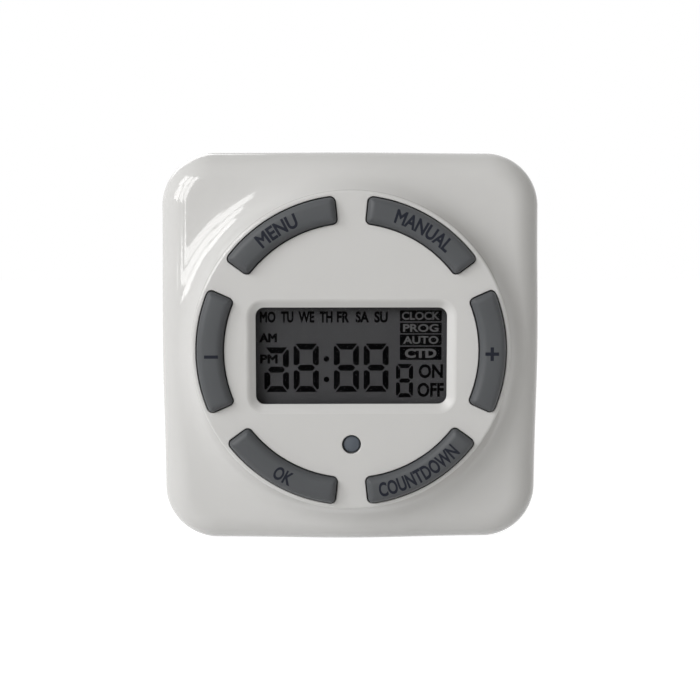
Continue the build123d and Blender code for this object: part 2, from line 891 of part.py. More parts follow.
def make_contact_carrier():
    """The moulded block behind the outlet's face, with a pocket for each contact."""
    sleeve_pocket = 2 * (ground_hole_radius + sleeve_clearance + contact_sheet + fit_gap)
    slot_heights = (neutral_height, hot_height)
    tab_places = ((neutral_height, outlet_z + tail_offset), (hot_height, outlet_z - tail_offset))
    with BuildPart() as carrier:
        middle_x = (carrier_back_x + carrier_front_x) / 2
        size = (carrier_front_x - carrier_back_x, outlet_rise + 2 * carrier_margin)
        block((middle_x, outlet_middle_z), size, back_wall, carrier_top)
        with BuildSketch(Plane.YZ.offset(carrier_back_x + pocket_floor)):
            for height in slot_heights:
                with Locations((-height, outlet_z)):
                    Rectangle(pocket_width, pocket_length)
            with Locations((-outlet_height, outlet_ground_z)):
                Rectangle(sleeve_pocket, sleeve_pocket)
        extrude(amount=carrier_front_x - carrier_back_x - pocket_floor, mode=Mode.SUBTRACT)
        with BuildSketch(Plane.YZ.offset(carrier_back_x)):
            tab_slot = contact_sheet + 2 * fit_gap
            for height, z in tab_places:
                with Locations((-height, z)):
                    Rectangle(tab_slot, tail_width + 2 * fit_gap)
            with Locations((-outlet_height, outlet_ground_z)):
                Rectangle(tab_slot, tail_width + 2 * fit_gap)
        extrude(amount=pocket_floor, mode=Mode.SUBTRACT)
    save(carrier, "contact_carrier")


def make_contact(name, height, tail_z):
    """A folded brass clip behind a slot, with a tail that is soldered to the power board."""
    y = -height
    throat_x = contact_front_x - contact_throat
    with BuildPart() as contact:
        with BuildSketch(Plane.XY.offset(outlet_z - contact_width / 2)):
            with BuildLine():
                Polyline(
                    (contact_front_x, y - contact_spread),
                    (throat_x, y - contact_pinch),
                    (contact_back_x, y - contact_spread),
                    (contact_back_x, y + contact_spread),
                    (throat_x, y + contact_pinch),
                    (contact_front_x, y + contact_spread),
                )
            trace(line_width=contact_sheet)
        extrude(amount=contact_width)
        with BuildSketch(Plane.XY.offset(tail_z - tail_width / 2)):
            with BuildLine():
                Polyline((contact_back_x, y), (tail_x, y), (tail_x, -solder_front))
            trace(line_width=contact_sheet)
        extrude(amount=tail_width)
    save(contact, f"{name}_contact")


def make_ground_contact():
    """The split brass sleeve behind the ground hole, with a tab to the ground strap."""
    bore = ground_hole_radius + sleeve_clearance
    with BuildPart() as contact:
        with BuildSketch(Plane.YZ.offset(contact_back_x)):
            with Locations((-outlet_height, outlet_ground_z)):
                Circle(bore + contact_sheet)
                Circle(bore, mode=Mode.SUBTRACT)
            with Locations((-outlet_height, outlet_ground_z + bore)):
                Rectangle(slot_width, 4 * contact_sheet, mode=Mode.SUBTRACT)
        extrude(amount=contact_front_x - contact_back_x)
        with BuildSketch(Plane.YZ.offset(contact_back_x - contact_sheet)):
            with Locations((-outlet_height, outlet_ground_z)):
                Circle(bore + contact_sheet)
        extrude(amount=contact_sheet)
        with BuildSketch(Plane.YZ.offset(tail_x - contact_sheet / 2)):
            with Locations((-outlet_height, outlet_ground_z)):
                Rectangle(contact_sheet, tail_width)
        extrude(amount=contact_back_x - contact_sheet - tail_x + contact_sheet / 2)
    save(contact, "ground_contact")


def make_ground_strap():
    """The bent strip from the ground pin's stub to the ground contact's tab."""
    strap_y = -(back_wall + collar_rise + strap_thickness / 2)
    riser_x = tail_x - contact_sheet / 2 - strap_thickness / 2
    with BuildPart() as strap:
        with BuildSketch(Plane.XY.offset(ground_z - strap_width / 2)):
            with BuildLine():
                Polyline(
                    (-collar_radius, strap_y),
                    (riser_x, strap_y),
                    (riser_x, -outlet_height - contact_spread),
                )
            trace(line_width=strap_thickness)
        extrude(amount=strap_width)
        hole = stub_radius + fit_gap
        posts([(0, ground_z)], hole, back_wall, retainer_back, Mode.SUBTRACT)
    save(strap, "ground_strap")


os.makedirs("parts", exist_ok=True)

make_front_cover()
make_rear_housing()
make_display_window()
make_display_glass()
make_display_frame()
make_rubber_connectors()
make_display_board()
make_controller_chip()
make_crystal()
make_contact_pads()
make_keypad_sheet()
for number, (key_name, stem_point) in enumerate(zip(key_names, stem_points)):
    make_key(key_name, key_step * number)
    make_pill(key_name, stem_point, pill_radius)
make_reset_key()
make_pill("reset", (0, reset_z), reset_stem_radius)
make_screws()
make_power_board()
make_relay()
make_film_capacitor()
make_round_parts()
make_varistor()
make_diodes()
make_board_header()
make_blade("neutral", -1)
make_blade("hot", 1)
make_ground_pin()
make_blade_retainer()
make_outlet_face()
make_contact_carrier()
make_contact("neutral", neutral_height, outlet_z + tail_offset)
make_contact("hot", hot_height, outlet_z - tail_offset)
make_ground_contact()
make_ground_strap()
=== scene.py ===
import logging
from collections.abc import Callable, Iterable
from dataclasses import dataclass
from enum import Enum
from functools import partial
from math import cos, pi, radians, sin, tan
from typing import Any

import bmesh
import bpy
import numpy as np
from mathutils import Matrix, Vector
from mathutils.geometry import delaunay_2d_cdt


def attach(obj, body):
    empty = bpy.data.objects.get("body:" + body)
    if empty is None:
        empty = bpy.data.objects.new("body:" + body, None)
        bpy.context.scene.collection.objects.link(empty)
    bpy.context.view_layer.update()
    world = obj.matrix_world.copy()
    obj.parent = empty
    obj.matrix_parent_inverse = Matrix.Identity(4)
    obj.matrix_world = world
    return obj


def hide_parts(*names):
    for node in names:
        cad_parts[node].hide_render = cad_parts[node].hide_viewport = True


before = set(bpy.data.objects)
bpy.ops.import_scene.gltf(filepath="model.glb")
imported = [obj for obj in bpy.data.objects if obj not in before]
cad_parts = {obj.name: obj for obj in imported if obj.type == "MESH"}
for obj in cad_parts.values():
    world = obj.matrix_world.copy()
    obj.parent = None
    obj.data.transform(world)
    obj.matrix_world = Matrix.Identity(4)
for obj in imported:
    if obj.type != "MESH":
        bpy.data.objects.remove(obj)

LOG = logging.getLogger("timer")

# Shapes are worked out in millimetres, with heights from the wall, and become metres at the end.
MM = 0.001
# The height of the cover's face.
FACE = 34.0
# Half the thickness of a printed mark.
INK = 0.01
# Steps in a millimetre to which points are rounded before they are welded.
WELD_STEPS = 1e4
# Points closer than this become one, in metres in a word and in millimetres in a plate.
WELD_GAP = 1e-7
# The kind of triangulation that keeps to the inside of the loops.
INSIDE_LOOPS = 1
# Edges bent by more degrees than this stay sharp.
SHARP = 32.0
# A difference too small to matter.
TINY = 1e-9

# A loop has rows of x and z in the face plane, and points have rows of x, y and z.
Loop = np.ndarray
Points = np.ndarray
Faces = list[list[int]]
Box = tuple[float, float, float, float]
Colour = tuple[float, float, float, float]
Values = dict[str | int, Any]
Socket = bpy.types.NodeSocket
Piece = bpy.types.Object


class Pattern(Enum):
    """How the surface of a finish varies from point to point."""

    MOULDED = "moulded"
    BRUSHED = "brushed"
    LAMINATE = "laminate"
    CLEAR = "clear"


class Graph:
    """The node tree of a material or a world, filled node by node."""

    def __init__(self, owner: bpy.types.Material | bpy.types.World) -> None:
        """Starts with an empty tree.

        Args:
            owner: The material or world whose nodes these are.
        """
        self.owner = owner
        owner.use_nodes = True
        self.tree = owner.node_tree
        self.tree.nodes.clear()

    def add(self, kind: str, values: Values | None = None, **settings: str) -> bpy.types.Node:
        """Adds a node.

        Args:
            kind: The node's type.
            values: Constants or linked sockets, by input name or number.
            settings: The node's own attributes.

        Returns:
            The new node.
        """
        node = self.tree.nodes.new(kind)
        for key, value in settings.items():
            setattr(node, key, value)
        for key, value in (values or {}).items():
            if isinstance(value, Socket):
                self.tree.links.new(value, node.inputs[key])
            else:
                node.inputs[key].default_value = value
        return node

    def out(self, kind: str, values: Values, output: str | int = 0, **settings: str) -> Socket:
        """Adds a node as add does, and returns one of its outputs."""
        return self.add(kind, values, **settings).outputs[output]

    def place(self, scale: tuple[float, float, float] = (1.0, 1.0, 1.0)) -> Socket:
        """Object coordinates stretched by a scale on each axis."""
        source = self.out("ShaderNodeTexCoord", {}, "Object")
        return self.out("ShaderNodeMapping", {"Vector": source, "Scale": scale})

    def noise(self, place: Socket, size: float, detail: float) -> Socket:
        """Soft noise whose patches are about that many millimetres wide."""
        values = {"Vector": place, "Scale": 1 / (size * MM), "Detail": detail}
        return self.out("ShaderNodeTexNoise", values, "Fac")

    def between(self, share: Socket, low: float, high: float) -> Socket:
        """A number that runs from low to high as the share runs from zero to one."""
        return self.out("ShaderNodeMapRange", {"Value": share, "To Min": low, "To Max": high})

    def blend(self, share: Socket, first: Colour | Socket, second: Colour) -> Socket:
        """A mix of two colours, which are inputs 6 and 7 of that node, and the mix output 2."""
        return self.out("ShaderNodeMix", {"Factor": share, 6: first, 7: second}, 2, data_type="RGBA")

    def math(self, operation: str, first: Socket, second: Socket | float) -> Socket:
        """One step of arithmetic on two numbers."""
        return self.out("ShaderNodeMath", {0: first, 1: second}, operation=operation)

    def looked_at(self) -> Socket:
        """One where the camera looks, itself, in a mirror or through a lens, and zero elsewhere.

        Returns:
            The number, for use as the share of a mix.
        """
        path = self.add("ShaderNodeLightPath").outputs
        mirrored = self.math("MAXIMUM", path["Is Camera Ray"], path["Is Glossy Ray"])
        return self.math("MAXIMUM", mirrored, path["Is Transmission Ray"])

    def finish(self, shader: Socket, kind: str = "Material") -> bpy.types.Material | bpy.types.World:
        """Joins the shader to an output of that kind and returns the owner."""
        self.add(f"ShaderNodeOutput{kind}", {"Surface": shader})
        return self.owner


@dataclass(frozen=True)
class Finish:
    """One procedural finish: colour, gloss and how both vary.

    Drift is the share by which the colour varies in patches, and spread the share by which
    the roughness varies with the grain. Grain is the strength of the fine bumps, and bump
    their height. Sizes are in millimetres. Brush, the threads and cloth, and the clear
    values each belong to one pattern.
    """

    name: str
    colour: tuple[float, float, float]
    roughness: float
    pattern: Pattern = Pattern.MOULDED
    metallic: float = 0.0
    drift: float = 0.06
    grain: float = 0.05
    grain_size: float = 0.25
    coat: float = 0.0
    specular: float = 0.5
    coat_roughness: float = 0.06
    patch_size: float = 9.0
    detail: float = 3.0
    spread: float = 0.12
    bump: float = 0.02
    brush: float = 0.06
    threads: float = 400.0
    thread_detail: float = 1.0
    thread_wobble: float = 0.6
    cloth_light: float = 1.5
    cloth_share: float = 0.5
    clear_polish: float = 0.02
    clear_index: float = 1.06

    def shade(self, factor: float) -> Colour:
        """The colour made darker or lighter by a factor, up to white."""
        return tuple(min(1.0, part * factor) for part in self.colour) + (1.0,)

    def material(self) -> bpy.types.Material:
        """The finish as a node material, made once.

        Returns:
            The material.
        """
        name = f"{self.name}_finish"
        found = bpy.data.materials.get(name)
        if found:
            return found
        graph = Graph(bpy.data.materials.new(name))
        shader = self._clear(graph) if self.pattern is Pattern.CLEAR else self._solid(graph)
        return graph.finish(shader)

    def _solid(self, graph: Graph) -> Socket:
        """Plastic, rubber, lacquer or metal: soft patches of colour under a fine grain.

        Args:
            graph: The material's nodes.

        Returns:
            The shader.
        """
        along = self.brush if self.pattern is Pattern.BRUSHED else 1.0
        place = graph.place((1.0, along, 1.0))
        patches = graph.noise(place, self.patch_size, self.detail)
        fine = graph.noise(place, self.grain_size, self.detail)
        colour = graph.blend(patches, self.shade(1 - self.drift), self.shade(1 + self.drift))
        if self.pattern is Pattern.LAMINATE:
            colour = self._weave(graph, place, colour)
        low, high = self.roughness * (1 - self.spread), self.roughness * (1 + self.spread)
        bumps = {"Height": fine, "Strength": self.grain, "Distance": self.bump * MM}
        values = {
            "Base Color": colour,
            "Roughness": graph.between(fine, low, high),
            "Metallic": self.metallic,
            "Normal": graph.out("ShaderNodeBump", bumps),
            "Coat Weight": self.coat,
            "Specular IOR Level": self.specular,
            "Coat Roughness": self.coat_roughness,
        }
        return graph.out("ShaderNodeBsdfPrincipled", values)

    def _weave(self, graph: Graph, place: Socket, colour: Socket) -> Socket:
        """The glass cloth in a board, which shows faintly through its lacquer as crossed waves.

        Args:
            graph: The material's nodes.
            place: The coordinates.
            colour: The lacquer's colour.

        Returns:
            The colour with the cloth in it.
        """
        values = {
            "Vector": place,
            "Scale": self.threads,
            "Distortion": self.thread_wobble,
            "Detail": self.thread_detail,
        }
        waves = [
            graph.out("ShaderNodeTexWave", values, "Fac", bands_direction=axis) for axis in ("X", "Z")
        ]
        amount = graph.math("MULTIPLY", graph.math("MULTIPLY", *waves), self.cloth_share)
        return graph.blend(amount, colour, self.shade(self.cloth_light))

    def _clear(self, graph: Graph) -> Socket:
        """Thin clear plastic: a faint tint, and a reflection that grows at the edges.

        Args:
            graph: The material's nodes.

        Returns:
            The shader.
        """
        haze = graph.noise(graph.place(), self.grain_size, self.detail)
        rough = graph.between(haze, self.clear_polish, self.clear_polish + self.roughness)
        tint = graph.out("ShaderNodeBsdfTransparent", {"Color": self.colour + (1.0,)})
        gloss = graph.out("ShaderNodeBsdfGlossy", {"Roughness": rough})
        edge = graph.out("ShaderNodeFresnel", {"IOR": self.clear_index})
        return graph.out("ShaderNodeMixShader", {0: edge, 1: tint, 2: gloss})


WHITE = Finish(
    "white_shell", (0.60, 0.60, 0.60), 0.07, drift=0.012, grain=0.015, grain_size=0.5, specular=0.48
)
SATIN = Finish(
    "white_satin", (0.60, 0.60, 0.60), 0.42, drift=0.012, grain=0.05, grain_size=0.3, specular=0.42
)
INNER = Finish("white_inner", (0.55, 0.55, 0.53), 0.42, drift=0.03, grain=0.15)
RUBBER = Finish(
    "key_rubber", (0.0755, 0.080, 0.0865), 0.5, drift=0.05, grain=0.12, grain_size=0.12, specular=0.3
)
RESET = Finish(
    "reset_rubber", (0.088, 0.102, 0.124), 0.5, drift=0.05, grain=0.12, grain_size=0.12, specular=0.3
)
LEGEND = Finish(
    "legend_ink", (0.010, 0.012, 0.020), 0.5, drift=0.1, grain=0.1, grain_size=0.1, specular=0.15
)
LENS = Finish("clear_lens", (0.945, 0.945, 0.95), 0.03, Pattern.CLEAR, grain_size=2.0, detail=2.0)
PANEL = Finish(
    "lcd_panel", (0.076, 0.0765, 0.0800), 0.5, drift=0.14, grain=0.01, grain_size=0.4, specular=0.02
)
SEGMENT = Finish(
    "lcd_segment", (0.0015, 0.0015, 0.0018), 0.6, drift=0.1, grain=0.01, grain_size=0.4, specular=0.01
)
LABEL = Finish(
    "lcd_label", (0.115, 0.115, 0.117), 0.5, drift=0.1, grain=0.01, grain_size=0.4, specular=0.02
)
BOARD = Finish("circuit_board", (0.010, 0.090, 0.030), 0.32, Pattern.LAMINATE, drift=0.15, coat=0.3)
RESIN = Finish("black_resin", (0.012, 0.012, 0.013), 0.22, drift=0.2, grain=0.2, grain_size=0.6)
BLACK = Finish("black_plastic", (0.014, 0.014, 0.015), 0.42, drift=0.12, grain=0.2)
STEEL = Finish("steel", (0.55, 0.56, 0.57), 0.3, Pattern.BRUSHED, metallic=1.0, grain=0.2)
CARBON = Finish("carbon", (0.010, 0.010, 0.010), 0.7, drift=0.3, grain=0.4)
RUBBER_STRIP = Finish("conductive_rubber", (0.020, 0.020, 0.022), 0.6, drift=0.2, grain=0.3)
YELLOW = Finish("yellow_case", (0.62, 0.40, 0.035), 0.35, drift=0.05, grain=0.1)
SLEEVE = Finish("black_sleeve", (0.015, 0.016, 0.022), 0.24, drift=0.15, coat=0.4)
GREEN = Finish("green_sleeve", (0.03, 0.22, 0.07), 0.25, drift=0.1, coat=0.4)
BLUE = Finish("blue_lacquer", (0.02, 0.09, 0.32), 0.28, drift=0.12, grain=0.3, grain_size=0.5, coat=0.3)
PLATED = Finish("plated_brass", (0.70, 0.68, 0.62), 0.22, Pattern.BRUSHED, metallic=1.0, grain=0.2)
BRASS = Finish("brass", (0.78, 0.56, 0.25), 0.26, Pattern.BRUSHED, metallic=1.0, grain=0.2)


@dataclass(frozen=True)
class Spacing:
    """How many points a rounded rectangle has on each side, and on each corner."""

    along_x: int
    along_z: int
    per_corner: int


# The points round a small printed mark.
MARK_POINTS = Spacing(2, 2, 4)


def outline(half_x: float, half_z: float, radius: float, spacing: Spacing) -> tuple[Loop, Loop]:
    """A rounded rectangle as a closed loop, counterclockwise from its right side.

    Each corner is a quarter circle and each side an even row of points between two corners.

    Args:
        half_x: Half the width.
        half_z: Half the height.
        radius: The corners' radius.
        spacing: The numbers of points.

    Returns:
        The points and the outward directions, both as rows of x and z.
    """
    points, normals = [], []
    signs = ((1, 1), (-1, 1), (-1, -1), (1, -1))
    for quarter, (sign_x, sign_z) in enumerate(signs):
        turn = np.linspace(0, pi / 2, spacing.per_corner) + quarter * pi / 2
        normal = np.stack([np.cos(turn), np.sin(turn)], axis=1)
        centre = np.array([sign_x * (half_x - radius), sign_z * (half_z - radius)])
        arc = centre + radius * normal
        next_x, next_z = signs[(quarter + 1) % 4]
        next_turn = (quarter + 1) * pi / 2
        end_normal = np.array([cos(next_turn), sin(next_turn)])
        end = np.array([next_x * (half_x - radius), next_z * (half_z - radius)]) + radius * end_normal
        count = spacing.along_x if quarter % 2 == 0 else spacing.along_z
        share = (np.arange(1, count + 1) / (count + 1))[:, None]
        points += [arc, arc[-1] * (1 - share) + end * share]
        normals += [normal, np.repeat(end_normal[None], count, axis=0)]
    return np.concatenate(points), np.concatenate(normals)


def lift(flat: Loop, height: float | np.ndarray) -> Points:
    """Points of the face plane at a height from the wall, which is measured along minus y."""
    return np.stack([flat[:, 0], np.broadcast_to(-np.asarray(height), len(flat)), flat[:, 1]], axis=1)


def circle(centre: tuple[float, float], radius: float, count: int) -> Loop:
    """An even circle of that many points in the face plane."""
    turn = np.arange(count) * 2 * pi / count
    return np.stack([centre[0] + radius * np.cos(turn), centre[1] + radius * np.sin(turn)], axis=1)


def inside(points: Loop, loop: Loop) -> np.ndarray:
    """Which points lie inside a closed loop, by counting the edges that a ray crosses.

    Args:
        points: The points to test.
        loop: The closed loop.

    Returns:
        True for each point inside.
    """
    x, z = points[:, 0:1], points[:, 1:2]
    start, end = loop, np.roll(loop, -1, axis=0)
    spans = (start[:, 1] > z) != (end[:, 1] > z)
    rise = np.where(end[:, 1] == start[:, 1], TINY, end[:, 1] - start[:, 1])
    cross = start[:, 0] + (z - start[:, 1]) * (end[:, 0] - start[:, 0]) / rise
    return (spans & (x < cross)).sum(axis=1) % 2 == 1


def link(name: str, data: bpy.types.ID) -> bpy.types.Object:
    """Puts a new object in the scene.

    Args:
        name: The object's name.
        data: Its mesh, curve, lamp or camera.

    Returns:
        The object.
    """
    item = bpy.data.objects.new(name, data)
    bpy.context.scene.collection.objects.link(item)
    return item


def make_piece(name: str, points: Points, faces: Faces, finish: Finish, gap: float = 0.0) -> Piece:
    """A mesh object at the origin, with its faces turned outward.

    Args:
        name: The object's name.
        points: Its points, in millimetres.
        faces: The numbers of each face's points.
        finish: Its finish.
        gap: Points closer than this, in metres, become one.

    Returns:
        The object.
    """
    mesh = bpy.data.meshes.new(name)
    mesh.from_pydata((points * MM).tolist(), [], faces)
    shaper = bmesh.new()
    shaper.from_mesh(mesh)
    if gap:
        bmesh.ops.remove_doubles(shaper, verts=shaper.verts, dist=gap)
    bmesh.ops.recalc_face_normals(shaper, faces=shaper.faces)
    shaper.to_mesh(mesh)
    shaper.free()
    mesh.materials.append(finish.material())
    return link(name, mesh)


class Surface:
    """Gathers computed grids and plates, in millimetres, and welds them into one mesh."""

    def __init__(self) -> None:
        """Starts with nothing."""
        self.points: list[Points] = []
        self.quads: list[np.ndarray] = []
        self.triangles: list[np.ndarray] = []

    def _keep(self, points: Points) -> int:
        """Adds points and returns the number of the first."""
        self.points.append(points)
        return sum(len(kept) for kept in self.points[:-1])

    def grid(self, rows: list[Points]) -> None:
        """Joins successive closed rows by quads.

        Args:
            rows: Closed loops of x, y and z, each with the same number of points.
        """
        count = len(rows[0])
        first = self._keep(np.concatenate(rows))
        row, column = np.meshgrid(np.arange(len(rows) - 1), np.arange(count), indexing="ij")
        near = first + row * count + column
        side = first + row * count + (column + 1) % count
        self.quads.append(np.stack([near, side, side + count, near + count], axis=-1).reshape(-1, 4))

    def fan(self, loop: Points) -> None:
        """Closes a loop by triangles to its middle.

        Args:
            loop: The closed loop of x, y and z.
        """
        first = self._keep(np.concatenate([loop, loop.mean(axis=0)[None]]))
        ring = first + np.arange(len(loop))
        middle = np.full(len(loop), first + len(loop))
        self.triangles.append(np.stack([ring, np.roll(ring, -1), middle], axis=1))

    def plate(self, outer: Loop, holes: Iterable[Loop], height: float) -> None:
        """Fills the plane between an outer loop and some holes by constrained triangles.

        Args:
            outer: The outer loop of x and z.
            holes: The loops left open.
            height: The plane's height.
        """
        loops = [outer, *holes]
        flat = np.concatenate(loops)
        edges, first = [], 0
        for loop in loops:
            ring = first + np.arange(len(loop))
            edges += np.stack([ring, np.roll(ring, -1)], axis=1).tolist()
            first += len(loop)
        vectors = [Vector(point) for point in flat.tolist()]
        _, _, faces, sources, _, _ = delaunay_2d_cdt(vectors, edges, [], INSIDE_LOOPS, WELD_GAP, True)
        source = np.array([found[0] for found in sources])
        triangles = source[np.array(faces)]
        middles = flat[triangles].mean(axis=1)
        keep = inside(middles, outer)
        for hole in holes:
            keep &= ~inside(middles, hole)
        self.triangles.append(self._keep(lift(flat, height)) + triangles[keep])

    def prism(self, loop: Loop, low: float, high: float) -> None:
        """A thin plate with a convex outline.

        Args:
            loop: The outline.
            low: The height of its back.
            high: The height of its front.
        """
        rows = [lift(loop, low), lift(loop, high)]
        self.grid(rows)
        for row in rows:
            self.fan(row)

    def object(self, name: str, finish: Finish) -> Piece:
        """Welds the points and makes the object.

        Points that fall together become one, quads that lose a side are split into
        triangles, and the faces are turned outward. Grids are smooth, fans and plates flat.

        Args:
            name: The object's name.
            finish: Its finish.

        Returns:
            The object, at the origin and linked to the scene.
        """

        def distinct(triangles: np.ndarray) -> Faces:
            """The triangles whose three points are all different."""
            return triangles[(triangles != np.roll(triangles, -1, axis=1)).all(axis=1)].tolist()

        points = np.concatenate(self.points)
        steps = np.round(points * WELD_STEPS).astype(np.int64)
        _, first, welded = np.unique(steps, axis=0, return_index=True, return_inverse=True)
        welded = welded.reshape(-1)
        quads = welded[np.concatenate(self.quads)]
        broken = (quads == np.roll(quads, -1, axis=1)).any(axis=1)
        halves = np.concatenate([quads[broken][:, [0, 1, 2]], quads[broken][:, [0, 2, 3]]])
        curved = quads[~broken].tolist() + distinct(halves)
        faces = curved + distinct(welded[np.concatenate(self.triangles)])
        piece = make_piece(name, points[first], faces, finish)
        piece.data.shade_smooth()
        piece.data.set_sharp_from_angle(angle=radians(SHARP))
        piece.data.polygons.foreach_set("use_smooth", np.arange(len(faces)) < len(curved))
        return piece


@dataclass(frozen=True)
class Boss:
    """A kind of screw boss, one in each quarter of the cover, in millimetres."""

    x: float
    z: float
    outer: float
    bore: float
    low: float
    roof: float = 1.2
    sides: int = 48


@dataclass(frozen=True)
class CoverSizes:
    """Sizes of the moulded front cover, in millimetres, and how finely it is divided.

    The curve is the flare's, as four control points of distance from the axis and height.
    """

    half_x: float = 31.0
    half_z: float = 32.0
    corner: float = 8.8
    rim: float = 25.35
    rim_round: float = 0.5
    rim_strip: float = 24.81
    curve: tuple[tuple[float, float], ...] = ((25.4, 33.2), (28.0, 29.0), (29.0, 29.0), (46.553, 29.0))
    edge_round: float = 5.2
    join: float = 5.4
    seam: float = 22.0
    seam_cut: float = 0.2
    rebate: tuple[float, float] = (1.0, 23.6)
    wall: float = 2.0
    inner_round: float = 2.0
    land_back: float = 27.0
    cavity: float = 24.82
    face_back: float = 32.0
    window: tuple[float, float] = (15.2, 7.7)
    window_z: float = -0.75
    window_corner: float = 1.4
    bevel: float = 1.15
    bevel_depth: float = 0.9
    bevel_blend: float = 0.3
    lens_seat: tuple[float, float] = (16.75, 9.25)
    seat_corner: float = 0.3
    seat_depth: float = 0.6
    opening_round: float = 0.12
    strip: float = 0.03
    board_boss: Boss = Boss(9.6, 13.1, 2.3, 0.98, 26.0)
    corner_boss: Boss = Boss(24.0, 25.0, 3.0, 1.48, 22.3)
    edge_points: Spacing = Spacing(44, 46, 56)
    window_points: Spacing = Spacing(60, 30, 14)
    curve_samples: int = 4001
    roll_samples: int = 801
    rim_rows: int = 11
    flare_rows: int = 41
    edge_rows: int = 29
    wall_rows: int = 8
    wall_start: float = 0.1
    inner_rows: int = 7
    opening_rows: int = 6
    bevel_rows: int = 26


@dataclass(frozen=True)
class KeySizes:
    """Sizes of the arc-shaped keys, in millimetres, and how finely they are divided."""

    inner: float = 20.1
    outer: float = 24.57
    half_angle: float = 24.0
    corner: float = 0.9
    gap: float = 0.18
    front: float = 35.3
    edge: float = 1.1
    softness: float = 2.2
    crown: float = 0.22
    flange_front: float = 31.9
    flange_back: float = 31.1
    flange_lip: float = 0.7
    stem: float = 1.7
    stem_back: float = 27.5
    points: Spacing = Spacing(10, 44, 10)
    top_rows: int = 5
    edge_rows: int = 13

    @property
    def middle(self) -> float:
        """The radius of the keys' mid arc."""
        return (self.inner + self.outer) / 2

    def top(self, radius: np.ndarray) -> np.ndarray:
        """The height of the crowned top: a parabola across the key, highest on its mid arc."""
        return self.front - self.crown * ((radius - self.middle) / (self.outer - self.middle)) ** 2

    def loop(self, angle: float, grow: float) -> Loop:
        """The outline of a key at an angle, grown or shrunk all round.

        A rounded rectangle in arc length and radius, bent round the dial's axis.

        Args:
            angle: The key's place round the dial, in degrees from the right.
            grow: How far the outline moves outward.

        Returns:
            The closed loop of x and z.
        """
        half_arc = self.middle * radians(self.half_angle) + grow
        half_rise = (self.outer - self.inner) / 2 + grow
        flat, _ = outline(half_rise, half_arc, max(self.corner + grow, 0.0), self.points)
        radius = self.middle + flat[:, 0]
        turn = radians(angle) + flat[:, 1] / self.middle
        return np.stack([radius * np.cos(turn), radius * np.sin(turn)], axis=1)


@dataclass(frozen=True)
class ResetSizes:
    """Sizes of the small round key and its hole, in millimetres, and how finely it is divided."""

    z: float = -14.8
    hole: float = 1.5
    front: float = 33.78
    crown: float = 0.16
    crown_reach: float = 1.0
    edge_height: float = 33.26
    edge_start: float = 0.32
    edge_reach: float = 0.33
    edge_rise: float = 0.36
    flange: float = 2.2
    stem: float = 1.1
    crown_rows: int = 9
    edge_rows: int = 8
    sides: int = 64

    def opening(self, grow: float) -> Loop:
        """The hole in the cover, grown all round."""
        return circle((0.0, self.z), self.hole + grow, self.sides)


# Each arc key's place round the dial, in degrees from the right.
KEY_ANGLES = {"plus": 0, "manual": 60, "menu": 120, "minus": 180, "ok": 240, "countdown": 300}
KEY_NAMES = (*KEY_ANGLES, "reset")


